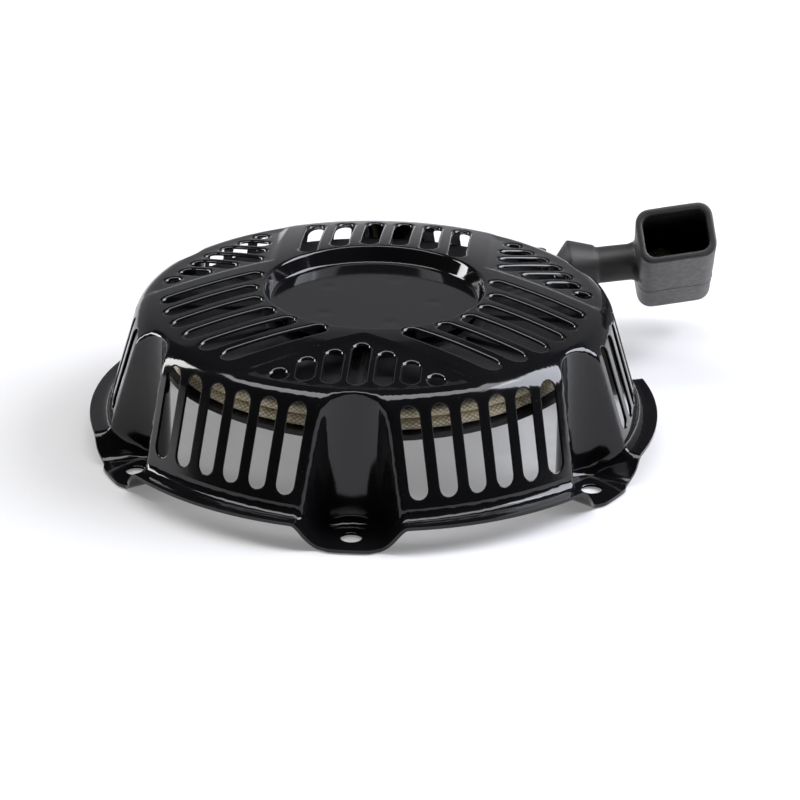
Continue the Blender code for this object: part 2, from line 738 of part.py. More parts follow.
def pawl_pins():
    bm = bmesh.new()
    for angle in PAWL_HEADINGS:
        spot = heading(angle) * PAWL_PIVOT_R
        low = PAWL_LOW_Z - GAP
        outline = circle(PAWL_PIN_R, 16, spot.xy)
        prism(bm, outline, DECK_Z + MM - low, Matrix.Translation((0, 0, low)))
    return finish_prisms(bm)


def make_reel(plastic):
    reel = add_object("reel", lathe(reel_outline(), TURN_STEPS), plastic)
    combine(reel, reel_ribs(), "UNION", "reel_ribs")
    combine(reel, pawl_pins(), "UNION", "pawl_pins")
    hole = lathe(rod_outline(ROPE_R + 2 * GAP, DRUM_R - 2 * DRUM_WALL, DRUM_R + OVERCUT), 12, "X")
    bmesh.ops.translate(hole, verts=hole.verts[:], vec=(0, 0, knot_z()))
    combine(reel, hole, "DIFFERENCE", "rope_hole")


def knot_z():
    return ROPE_MIDDLE_Z - ROPE_R


def make_rope_coil(rope):
    """The wound rope: two strands side by side, in two layers."""
    middle = ROPE_MIDDLE_Z
    inner = DRUM_R + GAP
    outline = []
    for side in (-1, 1):
        centre = middle + side * ROPE_R
        outline.append((WIND_R + ROPE_R * 0.45, centre - ROPE_R * 0.9))
        outline.append((WIND_R + ROPE_R, centre))
        outline.append((WIND_R + ROPE_R * 0.45, centre + ROPE_R * 0.9))
    high, low = middle + 2 * ROPE_R, middle - 2 * ROPE_R
    outline = [(inner, low), (WIND_R, low), *outline, (WIND_R, high), (inner, high)]
    add_object("rope_coil", lathe(outline, TURN_STEPS), rope)


def knot_outline(tail, radius, rope_r):
    """Rope tail that ends in a ball knot, along +X from the tail's free end."""
    neck = math.asin(rope_r / radius)
    centre = tail + radius * math.cos(neck)
    points = [(0.0, 0.0), (rope_r, 0.0)]
    for i in range(6):
        turn = neck + (math.pi - neck) * i / 5
        points.append((radius * math.sin(turn), centre - radius * math.cos(turn)))
    return points


def make_reel_knot(rope):
    """Rope end through the drum, held by a knot in the pocket behind it."""
    tail = DRUM_WALL + KNOT_TAIL
    bm = lathe(knot_outline(tail, KNOT_R * 0.85, ROPE_R), 12, "X")
    place = Matrix.Translation((DRUM_R - GAP, 0, knot_z())) @ Matrix.Rotation(math.pi, 4, "Z")
    bmesh.ops.transform(bm, verts=bm.verts[:], matrix=place)
    add_object("reel_knot", bm, rope)


def make_main_spring(steel):
    """Flat spiral in the reel's chamber, hooked on the post inside and on the reel outside."""
    steps = SPRING_TURNS * 18
    bm = bmesh.new()
    pitch = (SPRING_OUTER_R - SPRING_INNER_R) / steps
    outer, inner = [], []
    for i in range(steps + 1):
        r = SPRING_INNER_R + pitch * i
        turn = 2 * math.pi * SPRING_TURNS * i / steps
        spoke = Vector((math.cos(turn), math.sin(turn)))
        outer.append(tuple(spoke * (r + SPRING_T / 2)))
        inner.append(tuple(spoke * (r - SPRING_T / 2)))
    low = CHAMBER_FLOOR_Z + SPRING_SIDE_GAP
    verts = [[bm.verts.new((*point, low)) for point in side] for side in (outer, inner)]
    strip = [
        bm.faces.new((verts[0][i], verts[0][i + 1], verts[1][i + 1], verts[1][i])) for i in range(steps)
    ]
    raised = bmesh.ops.extrude_face_region(bm, geom=strip)
    top = [g for g in raised["geom"] if isinstance(g, bmesh.types.BMVert)]
    width = CHAMBER_TOP_Z - CHAMBER_FLOOR_Z - 2 * SPRING_SIDE_GAP
    bmesh.ops.translate(bm, verts=top, vec=(0, 0, width))
    add_object("main_spring", finish_prisms(bm), steel)


# ---------------------------------------------------------------- ratchet


def pawl_frame(name, angle):
    """Empty on a pawl's pivot: local +X points out from the post, +Z up."""
    turn = Matrix.Rotation(math.radians(angle - 90), 3, "Z").to_quaternion()
    return add_empty(name, heading(angle) * PAWL_PIVOT_R, turn)


def pawl_tip():
    """Tip of the pawl in its own frame: it trails clockwise from the pivot, leaning inwards."""
    return Vector((-math.sin(PAWL_LEAN), -math.cos(PAWL_LEAN))) * PAWL_LENGTH


def pawl_peg():
    return pawl_tip().normalized() * PAWL_PEG_REACH


def make_pawl(letter, angle, steel):
    frame = pawl_frame(f"pawl_{letter}_axis", angle)
    bm = bmesh.new()
    outline = capsule((0.0, 0.0), pawl_tip(), PAWL_EYE_R, PAWL_TIP_R, 8)
    prism(bm, outline, PAWL_T, Matrix.Translation((0, 0, PAWL_LOW_Z)))
    pawl = add_object(f"pawl_{letter}", finish_prisms(bm), steel, frame)
    eye = bmesh.new()
    low = PAWL_LOW_Z - OVERCUT
    tall = PAWL_T + 2 * OVERCUT
    prism(eye, circle(PAWL_PIN_R + GAP, 16), tall, Matrix.Translation((0, 0, low)))
    combine(pawl, finish_prisms(eye), "DIFFERENCE", f"pawl_{letter}_eye", frame)
    peg = bmesh.new()
    low = GUIDE_TOP_Z - GUIDE_T
    tall = PAWL_LOW_Z + MM - low
    prism(peg, circle(PAWL_PEG_R, 12, pawl_peg()), tall, Matrix.Translation((0, 0, low)))
    combine(pawl, finish_prisms(peg), "UNION", f"pawl_{letter}_peg", frame)


def make_pawl_spring(letter, angle, steel):
    """Light coil on the pawl's pin, one leg against the deck's hub and one along the pawl."""
    frame = bpy.data.objects[f"pawl_{letter}_axis"]
    low = PAWL_LOW_Z + PAWL_T + GAP + PAWL_SPRING_WIRE_R
    high = DECK_Z - GAP - PAWL_SPRING_WIRE_R
    along = math.atan2(*reversed(pawl_tip()))
    points = []
    for i in range(19):
        turn = along - math.pi / 2 - 2 * math.pi * PAWL_SPRING_TURNS * i / 18
        z = low + (high - low) * i / 18
        points.append(Vector((math.cos(turn), math.sin(turn), 0)) * PAWL_SPRING_R + Vector((0, 0, z)))
    legs = [points[0] - (points[1] - points[0]).normalized() * PAWL_SPRING_LEG]
    legs[0].z = low
    ends = [points[-1] + (points[-1] - points[-2]).normalized() * PAWL_SPRING_LEG]
    ends[0].z = high
    tube(f"pawl_spring_{letter}", legs + points + ends, PAWL_SPRING_WIRE_R, steel, frame, 1)


def peg_in_guide(turn):
    """Where the first pawl's peg stands over the guide plate when the plate has turned."""
    frame = Matrix.Rotation(math.radians(PAWL_HEADINGS[0] - 90), 2)
    swing = Matrix.Rotation(turn * PAWL_SWING / GUIDE_TURN, 2)
    spot = heading(PAWL_HEADINGS[0]).xy * PAWL_PIVOT_R + frame @ (swing @ pawl_peg())
    return Matrix.Rotation(-turn, 2) @ spot


def make_ratchet_guide(steel):
    """Plate on the end of the post, with a slot for each pawl's peg."""
    bm = lathe(ring_outline(POST_R + GAP, GUIDE_R, GUIDE_TOP_Z - GUIDE_T, GUIDE_TOP_Z), 36)
    guide = add_object("ratchet_guide", bm, steel)
    start, middle, end = (peg_in_guide(GUIDE_TURN * share) for share in (0.0, 0.5, 1.0))
    bow = (middle - (start + end) / 2).length
    radius = PAWL_PEG_R + GUIDE_SLOT_CLEAR + bow
    slots = bmesh.new()
    low = GUIDE_TOP_Z - GUIDE_T - OVERCUT
    for number in range(len(PAWL_HEADINGS)):
        turn = Matrix.Rotation(math.pi * number, 4, "Z")
        outline = capsule(start, end, radius, radius, 6)
        prism(slots, outline, GUIDE_T + 2 * OVERCUT, turn @ Matrix.Translation((0, 0, low)))
    combine(guide, finish_prisms(slots), "DIFFERENCE", "guide_slots")


def make_friction_spring(steel):
    """Coil round the end of the post that presses the guide plate against the hub."""
    radius = POST_R + 2 * GAP + FRICTION_WIRE_R
    low = SCREW_WASHER_TOP_Z + GAP + FRICTION_WIRE_R
    high = GUIDE_TOP_Z - GUIDE_T - GAP - FRICTION_WIRE_R
    steps = int(FRICTION_TURNS * 16)
    points = []
    for i in range(steps + 1):
        turn = 2 * math.pi * FRICTION_TURNS * i / steps
        z = low + (high - low) * i / steps
        points.append((radius * math.cos(turn), radius * math.sin(turn), z))
    tube("friction_spring", points, FRICTION_WIRE_R, steel, sides=1)


# ---------------------------------------------------------------- rope and grip


def make_rope_run(rope, pull_frame):
    """Rope from where it clears the wound coil, along the coil's tangent, to the guide's mouth."""
    along = Vector((math.cos(PULL_HEADING), math.sin(PULL_HEADING), 0))
    aside = Vector((-along.y, along.x, 0))
    bend = along * (OUTLET_REACH - OUTLET_STRAIGHT) + aside * OUTLET_ASIDE
    tangent = math.sqrt(bend.length_squared - WIND_R**2)
    turn = math.asin(WIND_R / bend.length) - math.atan2(OUTLET_ASIDE, OUTLET_REACH - OUTLET_STRAIGHT)
    back = Matrix.Rotation(-turn, 3, "Z") @ -along
    coil_r = WIND_R + 2 * ROPE_R + 2 * GAP
    length = tangent - math.sqrt(coil_r**2 - WIND_R**2)
    points = []
    for i in range(9):
        share = i / 8
        height = ROPE_MIDDLE_Z + (OUTLET_Z - ROPE_MIDDLE_Z) * (3 - 2 * share) * share**2
        points.append(bend + back * length * (1 - share) + Vector((0, 0, height)))
    points.append(pull_frame.matrix_world @ Vector((GRIP_SEAT - GAP, 0, 0)))
    tube("rope_run", points, ROPE_R, rope)


def bar_loft(depth, thickness, corner_r, rows):
    """Stack of rounded rectangles along the bar: each row is (distance, inset)."""
    bm = bmesh.new()
    rings = []
    for distance, inset in rows:
        radius = max(corner_r - inset * 0.5, BAR_LEAST_CORNER_R)
        outline = rounded_rectangle(depth - 2 * inset, thickness - 2 * inset, radius)
        rings.append([bm.verts.new((x, y, distance)) for x, y in outline])
    for low, high in zip(rings, rings[1:]):
        for i in range(len(low)):
            bm.faces.new((low[i - 1], low[i], high[i], high[i - 1]))
    bm.faces.new(rings[0])
    bm.faces.new(rings[-1])
    bmesh.ops.recalc_face_normals(bm, faces=bm.faces[:])
    return bm


def bar_place():
    """Turns the bar's own +Z to run across the pull, up towards -Y, hanging a little askew."""
    across = Vector((0, -math.cos(BAR_ROLL), math.sin(BAR_ROLL)))
    along = Vector((1, 0, 0))
    lean = Matrix.Rotation(BAR_LEAN, 3, across.cross(along))
    across = lean @ across
    along = Matrix.Rotation(BAR_TWIST, 3, across) @ (lean @ along)
    turn = Matrix((along, across.cross(along), across)).transposed().to_4x4()
    return Matrix.Translation((BAR_CENTRE, 0, 0)) @ turn


def make_grip(rubber, grip_frame):
    half = BAR_LENGTH / 2
    edge = BAR_END_ROUND
    rows = [(-half, edge * 0.7), (-half + edge * 0.3, edge * 0.22), (-half + edge, 0.0)]
    rows += [(half - BAR_RIM_ROUND, 0.0), (half, 0.75 * BAR_RIM_ROUND)]
    bar = bar_loft(BAR_DEPTH, BAR_THICKNESS, BAR_CORNER_R, rows)
    bmesh.ops.transform(bar, verts=bar.verts[:], matrix=bar_place())
    grip = add_object("grip", bar, rubber, grip_frame)
    neck_end = NOSE_LENGTH + FLARE_LENGTH + NECK_LENGTH + BAR_WALL * 1.5
    outline = [
        (0.0, 0.0),
        (GRIP_BORE_R + MM, 0.0),
        (STOPPER_R, NOSE_LENGTH),
        (STOPPER_R, NOSE_LENGTH + STOPPER_LAND),
        (NECK_R, NOSE_LENGTH + FLARE_LENGTH),
        (NECK_R, neck_end),
        (0.0, neck_end),
    ]
    combine(grip, lathe(outline, 24, "X"), "UNION", "grip_neck", grip_frame)
    wall = 2 * BAR_WALL
    rows = [(-half + BAR_WALL * 1.3, 0.0), (half + OVERCUT, 0.0)]
    hollow = bar_loft(BAR_DEPTH - wall, BAR_THICKNESS - wall, BAR_CORNER_R - BAR_WALL, rows)
    bmesh.ops.transform(hollow, verts=hollow.verts[:], matrix=bar_place())
    combine(grip, hollow, "DIFFERENCE", "grip_hollow", grip_frame)
    bore = lathe(rod_outline(GRIP_BORE_R, -OVERCUT, neck_end + MM), 12, "X")
    combine(grip, bore, "DIFFERENCE", "grip_bore", grip_frame)


def make_grip_fittings(steel, rope, grip_frame):
    """Washer and rope end inside the grip's hollow."""
    inside = BAR_CENTRE - BAR_DEPTH / 2 + BAR_WALL + GAP
    inside += GRIP_WASHER_R * math.sin(abs(BAR_LEAN) + abs(BAR_TWIST))
    washer = ring_outline(GRIP_BORE_R, GRIP_WASHER_R, inside, inside + GRIP_WASHER_T)
    add_object("grip_washer", lathe(washer, SMALL_STEPS, "X"), steel, grip_frame)
    tail = inside + GRIP_WASHER_T + GAP
    knot = lathe(knot_outline(tail, KNOT_R, ROPE_R), 12, "X")
    add_object("grip_rope_end", knot, rope, grip_frame)


def main():
    clear_scene()
    enamel = paint("black_enamel", (0.012, 0.012, 0.014), 0.12)
    zinc = paint("zinc_steel", (0.62, 0.62, 0.60), 0.32, 1.0)
    spring_steel = paint("spring_steel", (0.30, 0.31, 0.34), 0.30, 1.0)
    nylon = paint("black_nylon", (0.022, 0.022, 0.024), 0.5)
    braid = paint("braided_rope", (0.62, 0.55, 0.42), 0.9)
    rubber = paint("black_rubber", (0.035, 0.034, 0.036), 0.62)
    along = Vector((math.cos(PULL_HEADING), math.sin(PULL_HEADING), 0))
    aside = Vector((-along.y, along.x, 0))
    outlet = along * OUTLET_REACH + aside * OUTLET_ASIDE + Vector((0, 0, OUTLET_Z))
    turn = Matrix.Rotation(PULL_HEADING, 3, "Z") @ Matrix.Rotation(-PULL_RISE, 3, "Y")
    pull_frame = add_empty("pull_axis", outlet, turn.to_quaternion())
    grip_frame = add_empty("grip_axis", (GRIP_SEAT, 0, 0), parent=pull_frame)
    bpy.context.view_layer.update()
    make_cover(enamel, pull_frame)
    make_rope_guide(zinc, pull_frame)
    make_post(zinc)
    make_screw(zinc)
    make_reel(nylon)
    make_rope_coil(braid)
    make_reel_knot(braid)
    make_main_spring(spring_steel)
    low = HUB_END_Z - GAP - THRUST_WASHER_T
    thrust = ring_outline(POST_R + GAP, HUB_R, low, low + THRUST_WASHER_T)
    add_object("thrust_washer", lathe(thrust, SMALL_STEPS), zinc)
    for letter, angle in zip("ab", PAWL_HEADINGS):
        make_pawl(letter, angle, zinc)
        make_pawl_spring(letter, angle, spring_steel)
    make_ratchet_guide(zinc)
    make_friction_spring(spring_steel)
    make_rope_run(braid, pull_frame)
    make_grip(rubber, grip_frame)
    make_grip_fittings(zinc, braid, grip_frame)


if __name__ == "__main__":
    main()
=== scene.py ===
"""Looks of a recoil starter: enamelled pressing, rubber grip, braided rope and the works underneath."""

import math

import bmesh
import bpy
from bpy.props import FloatProperty, IntProperty, PointerProperty, StringProperty
from mathutils import Matrix, Vector, geometry, kdtree, noise


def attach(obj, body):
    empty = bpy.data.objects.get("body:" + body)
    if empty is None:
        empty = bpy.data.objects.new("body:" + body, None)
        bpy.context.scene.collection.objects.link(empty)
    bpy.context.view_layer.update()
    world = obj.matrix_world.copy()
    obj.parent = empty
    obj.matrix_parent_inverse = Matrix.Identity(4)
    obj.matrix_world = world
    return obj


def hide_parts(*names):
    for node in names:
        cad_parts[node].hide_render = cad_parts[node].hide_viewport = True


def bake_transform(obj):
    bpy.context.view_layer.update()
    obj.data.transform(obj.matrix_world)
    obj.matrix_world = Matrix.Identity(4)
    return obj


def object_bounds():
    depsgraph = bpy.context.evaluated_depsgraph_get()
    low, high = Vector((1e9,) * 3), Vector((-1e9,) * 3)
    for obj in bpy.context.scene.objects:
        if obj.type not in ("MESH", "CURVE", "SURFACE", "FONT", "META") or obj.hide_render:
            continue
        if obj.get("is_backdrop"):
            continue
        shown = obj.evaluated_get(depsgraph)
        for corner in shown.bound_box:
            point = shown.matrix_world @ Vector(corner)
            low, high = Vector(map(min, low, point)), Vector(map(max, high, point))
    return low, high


bl_info = {
    "name": "Recoil starter",
    "version": (1, 0, 0),
    "blender": (4, 5, 0),
    "location": "3D View > Sidebar > Starter",
    "description": "Builds the visible pieces of a recoil starter around its packed model",
    "category": "Object",
}

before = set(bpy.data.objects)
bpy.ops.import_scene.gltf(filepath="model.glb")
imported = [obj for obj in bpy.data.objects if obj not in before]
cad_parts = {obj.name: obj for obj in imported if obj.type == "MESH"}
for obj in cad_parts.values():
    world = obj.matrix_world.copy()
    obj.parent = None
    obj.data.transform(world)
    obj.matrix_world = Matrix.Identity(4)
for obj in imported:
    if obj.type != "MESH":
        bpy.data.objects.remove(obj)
CAD_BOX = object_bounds()

MM = 0.001
TOOL_TAB = "Starter"

# --- cover, repeated from the part: metres, headings in degrees from -Y towards +X ---
SHEET = 1.2 * MM
FEET = 6
BOLT_CIRCLE_R = 92.0 * MM
BOLT_HOLE_R = 3.6 * MM
FLANGE_R = 102.0 * MM
FOOT_CORNER_R = 100.6 * MM
FOOT_HALF_ANGLE = 6.1
RAMP_END_ANGLE = 10.7
FLANGE_LIFT = 8.3 * MM
WALL_FOOT_FILLET = 3.4 * MM
WALL_TOP_R = 84.8 * MM
WALL_TOP_Z = 46.3 * MM
WALL_DRAFT = math.radians(16.5)
PANEL_BOW_R = 120.0 * MM
FLUTE_R = 14.1 * MM
FLUTE_CENTRE_R = 95.0 * MM
SHOULDER_R = 8.0 * MM
DOME_EDGE_R = 75.0 * MM
DOME_DROP = 4.5 * MM
CREST_R = 40.6 * MM
CREST_Z = 55.7 * MM
RECESS_FLOOR_R = 37.1 * MM
RECESS_FLOOR_Z = 49.9 * MM
RECESS_LEAN = 1.8 / 4.7  # run over rise of the recess wall
CREST_ROUND = 1.3 * MM
FLOOR_ROUND = 1.5 * MM

# --- cooling slots ---
WALL_SLOTS = 6
WALL_SLOT_PITCH = 10.4 * MM
WALL_SLOT_WIDTH = 6.3 * MM
WALL_SLOT_LOW = 15.9 * MM
BANDS = 3
BAND_HALF_WIDTH = 37.5 * MM
BAND_STEP_WIDTH = 3.4 * MM
BAND_STEP_DROP = 0.9 * MM
LONG_SLOTS = 6
LONG_SLOT_PITCH = 10.9 * MM
LONG_SLOT_WIDTH = 6.2 * MM
LONG_SLOT_INNER_R = 41.6 * MM
SHORT_SLOT_PITCH = 8.9 * MM
SHORT_SLOT_WIDTH = 5.8 * MM
SHORT_SLOT_STARTS = (49.7 * MM, 54.7 * MM, 59.8 * MM, 66.6 * MM)
FLAT_RING = 0.22 * MM  # flat border that keeps a lip's shading off the sheet round it
ROUNDEST_SHORT_SLOT = 1.02  # length over width of the slot beside each foot

# --- rope line and outlet ---
ROPE_R = 2.1 * MM
WIND_R = 72.0 * MM
OUTLET_ASIDE = 65.0 * MM
PULL_HEADING = math.radians(7.5)
PULL_RISE = math.radians(5.5)
OUTLET_REACH = 69.0 * MM
OUTLET_Z = 35.1 * MM
OUTLET_HALF = 8.4 * MM
OUTLET_SIDE_SLOPE = 8.0
EYELET_HOLE_R = 5.3 * MM
GROOVE_MIDDLE_Z = 35.9 * MM
PULL_TRAVEL = 1.1

# --- grip, along the pull from the nose tip ---
GRIP_SEAT = 2.1 * MM
NOSE_LENGTH = 5.5 * MM
STOPPER_R = 10.4 * MM
FLARE_LENGTH = 9.9 * MM
NECK_R = 6.85 * MM
NECK_LENGTH = 15.2 * MM
BAR_LENGTH = 79.0 * MM
BAR_DEPTH = 28.9 * MM
BAR_THICKNESS = 21.1 * MM
BAR_CORNER_R = 5.5 * MM
BAR_WALL = 3.0 * MM
BAR_END_ROUND = 6.0 * MM
BAR_ROLL = math.radians(35.1)
BAR_LEAN = math.radians(-3.0)
BAR_TWIST = math.radians(1.9)
GRIP_BORE_R = 2.6 * MM
BAR_CENTRE = NOSE_LENGTH + FLARE_LENGTH + NECK_LENGTH + BAR_DEPTH / 2

UP = Vector((0.0, 0.0, 1.0))


def linear(colour):
    """Linear RGBA of an sRGB hex colour such as "#1A2B3C"."""
    channels = []
    for place in (1, 3, 5):
        value = int(colour[place:place + 2], 16) / 255
        channels.append(value / 12.92 if value <= 0.04045 else ((value + 0.055) / 1.055) ** 2.4)
    return (*channels, 1.0)


def heading(angle):
    turn = math.radians(angle)
    return Vector((math.sin(turn), -math.cos(turn), 0.0))


def heading_of(point):
    return math.degrees(math.atan2(point.x, -point.y))


def from_nearest(angle, step):
    """Signed angle from the nearest multiple of step."""
    return angle - step * round(angle / step)


def smooth_step(value):
    value = min(1.0, max(0.0, value))
    return value * value * (3 - 2 * value)


def soft_min(a, b, width):
    """The lesser of two lengths, with the corner between them rounded over a width."""
    share = min(1.0, max(0.0, 0.5 + (b - a) / (2 * width)))
    return b + (a - b) * share - width * share * (1 - share)


def pull_matrix():
    """Frame of the pull: origin on the outlet's face, +X along the rope's line."""
    turn = Matrix.Rotation(PULL_HEADING, 4, "Z") @ Matrix.Rotation(-PULL_RISE, 4, "Y")
    along = Vector((math.cos(PULL_HEADING), math.sin(PULL_HEADING), 0))
    aside = Vector((-along.y, along.x, 0))
    return Matrix.Translation(along * OUTLET_REACH + aside * OUTLET_ASIDE + UP * OUTLET_Z) @ turn


PULL = pull_matrix()
PULL_DIRECTION = (PULL.to_3x3() @ Vector((1, 0, 0))).normalized()
GRIP = PULL @ Matrix.Translation((GRIP_SEAT, 0, 0))


# ---------------------------------------------------------------- settings


class StarterCoverSettings(bpy.types.PropertyGroup):
    """Finish and fineness of the pressed cover"""

    enamel: StringProperty(name="Enamel", description="Colour of the enamel, as hex", default="#0A0A0B")
    lip: FloatProperty(
        name="Slot lip",
        description="Radius that the top slots' edges are rolled down to",
        default=1.3 * MM,
        min=0.3 * MM,
        max=1.4 * MM,
        subtype="DISTANCE",
        unit="LENGTH",
    )
    pierced_lip: FloatProperty(
        name="Pierced edge",
        description="Radius on the edges of the wall slots and bolt holes",
        default=0.35 * MM,
        min=0.1 * MM,
        max=0.8 * MM,
        subtype="DISTANCE",
        unit="LENGTH",
    )
    spacing: FloatProperty(
        name="Mesh spacing",
        description="Distance between the points of the smooth surface",
        default=1.7 * MM,
        min=1.0 * MM,
        max=4.0 * MM,
        subtype="DISTANCE",
        unit="LENGTH",
    )


class StarterGripSettings(bpy.types.PropertyGroup):
    """Finish of the moulded grip"""

    rubber: StringProperty(name="Rubber", description="Colour of the rubber, as hex", default="#2B2A2A")
    voxel: FloatProperty(
        name="Fineness",
        description="Size of the grid that melts the neck into the bar",
        default=0.5 * MM,
        min=0.3 * MM,
        max=2.0 * MM,
        subtype="DISTANCE",
        unit="LENGTH",
    )


class StarterRopeSettings(bpy.types.PropertyGroup):
    """Braid of the starter rope"""

    # The yarn is lighter than the rope's own cream: painted light for the turns, lead and knot that lie in
    # the cover's shade.
    yarn: StringProperty(name="Yarn", description="Colour of the yarn, as hex", default="#F3EACF")
    # The groove colour is painted shade between the strands.
    groove: StringProperty(name="Groove", description="Colour between strands, as hex", default="#B3A27C")
    # A darker copy of the yarn for the paid-out stretch: painted shade that keeps the rope from washing out
    # against the bright floor.
    painted_shade_yarn: StringProperty(name="Worn yarn", description="Colour of the handled stretch", default="#A89A78")
    carriers: IntProperty(name="Carriers", description="Strands braided each way", default=8, min=4, max=16)
    advance: FloatProperty(
        name="Strand advance",
        description="Distance between strands along the rope",
        default=2.1 * MM,
        min=1.0 * MM,
        max=6.0 * MM,
        subtype="DISTANCE",
        unit="LENGTH",
    )
    depth: FloatProperty(
        name="Braid depth",
        description="Depth of the grooves between strands",
        default=0.28 * MM,
        min=0.0,
        max=0.6 * MM,
        subtype="DISTANCE",
        unit="LENGTH",
    )


class StarterWorksSettings(bpy.types.PropertyGroup):
    """Finish of the reel, the ratchet and the springs"""

    nylon: StringProperty(name="Nylon", description="Colour of the reel, as hex", default="#0C0C0E")
    zinc: StringProperty(name="Zinc", description="Colour of the plated steel, as hex", default="#B9BABA")
    spring: StringProperty(name="Spring", description="Colour of the springs, as hex", default="#6E7178")
    edge: FloatProperty(
        name="Edge break",
        description="Width of the broken edges on metal and moulded pieces",
        default=0.25 * MM,
        min=0.05 * MM,
        max=0.6 * MM,
        subtype="DISTANCE",
        unit="LENGTH",
    )


class StarterStageSettings(bpy.types.PropertyGroup):
    """Floor, lights and camera"""

    floor: StringProperty(name="Floor", description="Colour of the floor, as hex", default="#BCBCBC")
    distance: FloatProperty(
        name="Camera distance",
        description="From the camera to the middle of the feet",
        default=1.1914,
        min=0.3,
        max=10.0,
        subtype="DISTANCE",
        unit="LENGTH",
    )
    turn: FloatProperty(
        name="Camera heading",
        description="Camera's heading round the starter",
        default=math.radians(4.525),
        subtype="ANGLE",
    )
    rise: FloatProperty(
        name="Camera rise",
        description="Camera's angle above the floor",
        default=math.radians(24.185),
        subtype="ANGLE",
    )
    lens: FloatProperty(name="Lens", description="Focal length in mm", default=148.3, min=20.0, max=400.0)


# ---------------------------------------------------------------- helpers


def add_piece(name, bm, material, body, sharp=35.0):
    """Turns a bmesh into a piece that rides on a body and takes the finish that it is given."""
    mesh = bpy.data.meshes.new(name)
    bm.to_mesh(mesh)
    bm.free()
    piece = bpy.data.objects.new(name, mesh)
    bpy.context.scene.collection.objects.link(piece)
    mesh.materials.append(material)
    shade(mesh, sharp)
    if body:
        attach(piece, body)
    return piece


def shade(mesh, sharp):
    """Smooth shading with edges kept above this many degrees; None leaves the shading as it is."""
    if sharp is None:
        return
    mesh.shade_smooth()
    mesh.set_sharp_from_angle(angle=math.radians(sharp))


def settle(piece, sharp=35.0):
    """Makes the piece's modifiers part of its mesh and shades the result."""
    graph = bpy.context.evaluated_depsgraph_get()
    graph.update()
    live = piece.evaluated_get(graph)
    mesh = bpy.data.meshes.new_from_object(live, preserve_all_data_layers=True, depsgraph=graph)
    piece.modifiers.clear()
    piece.data = mesh
    shade(mesh, sharp)


def lathe(profile, steps, closed=True):
    """Turns an outline of (radius, height) points about +Z."""
    bm = bmesh.new()
    ring = [bm.verts.new((r, 0.0, z)) for r, z in profile]
    first = 0 if closed else 1
    edges = [bm.edges.new((ring[i - 1], ring[i])) for i in range(first, len(ring))]
    bmesh.ops.spin(
        bm,
        geom=ring + edges,
        axis=(0, 0, 1),
        cent=(0, 0, 0),
        angle=2 * math.pi,
        steps=steps,
        use_merge=True,
    )
    bmesh.ops.remove_doubles(bm, verts=bm.verts[:], dist=1e-7)
    loose = [e for e in bm.edges if not e.link_faces]
    bmesh.ops.delete(bm, geom=loose, context="EDGES")
    bmesh.ops.recalc_face_normals(bm, faces=bm.faces[:])
    return bm


def turn_to_x(bm, place):
    """Lays a shape turned about +Z along +X, then moves it to its place."""
    along = Matrix.Rotation(math.pi / 2, 4, "Y")
    bmesh.ops.transform(bm, verts=bm.verts[:], matrix=place @ along)
    return bm


def rounded(points, radius, steps):
    """An outline with its corners rounded, as (x, y) points; a radius may be given for each."""
    made = []
    count = len(points)
    for i, corner in enumerate(points):
        r = radius[i] if isinstance(radius, (list, tuple)) else radius
        corner = Vector(corner)
        before = Vector(points[i - 1]) - corner
        after = Vector(points[(i + 1) % count]) - corner
        if r <= 0.0:
            made.append(tuple(corner))
            continue
        half = before.angle(after) / 2
        reach = r / math.tan(half)
        start = before.normalized() * reach
        end = after.normalized() * reach
        middle = (start + end).normalized() * (r / math.sin(half))
        first, last = start - middle, end - middle
        for k in range(steps + 1):
            spoke = first.slerp(last, k / steps).normalized() * r
            made.append(tuple(corner + middle + spoke))
    return made


def rounded_rectangle(width, depth, radius, steps):
    points = []
    for sx, sy, start in ((1, 1, 0), (-1, 1, 90), (-1, -1, 180), (1, -1, 270)):
        for i in range(steps + 1):
            turn = math.radians(start + 90 * i / steps)
            x = sx * (width / 2 - radius) + radius * math.cos(turn)
            y = sy * (depth / 2 - radius) + radius * math.sin(turn)
            points.append((x, y))
    return points


# ---------------------------------------------------------------- materials


def add_node(tree, kind, settings=None, links=None):
    """Adds a node with its settings, by property or socket name, and links into its sockets."""
    node = tree.nodes.new(kind)
    for name, value in (settings or {}).items():
        if isinstance(name, str) and hasattr(node, name):
            setattr(node, name, value)
        else:
            node.inputs[name].default_value = value
    for name, source in (links or {}).items():
        tree.links.new(source, node.inputs[name])
    return node


def new_material(name, settings):
    material = bpy.data.materials.new(name)
    material.use_nodes = True
    tree = material.node_tree
    shader = tree.nodes["Principled BSDF"]
    for socket, value in settings.items():
        shader.inputs[socket].default_value = value
    place = add_node(tree, "ShaderNodeTexCoord").outputs["Object"]
    return material, tree, shader, place


def grains(size):
    """Noise scale whose lumps are about this size in metres."""
    return 1.0 / size


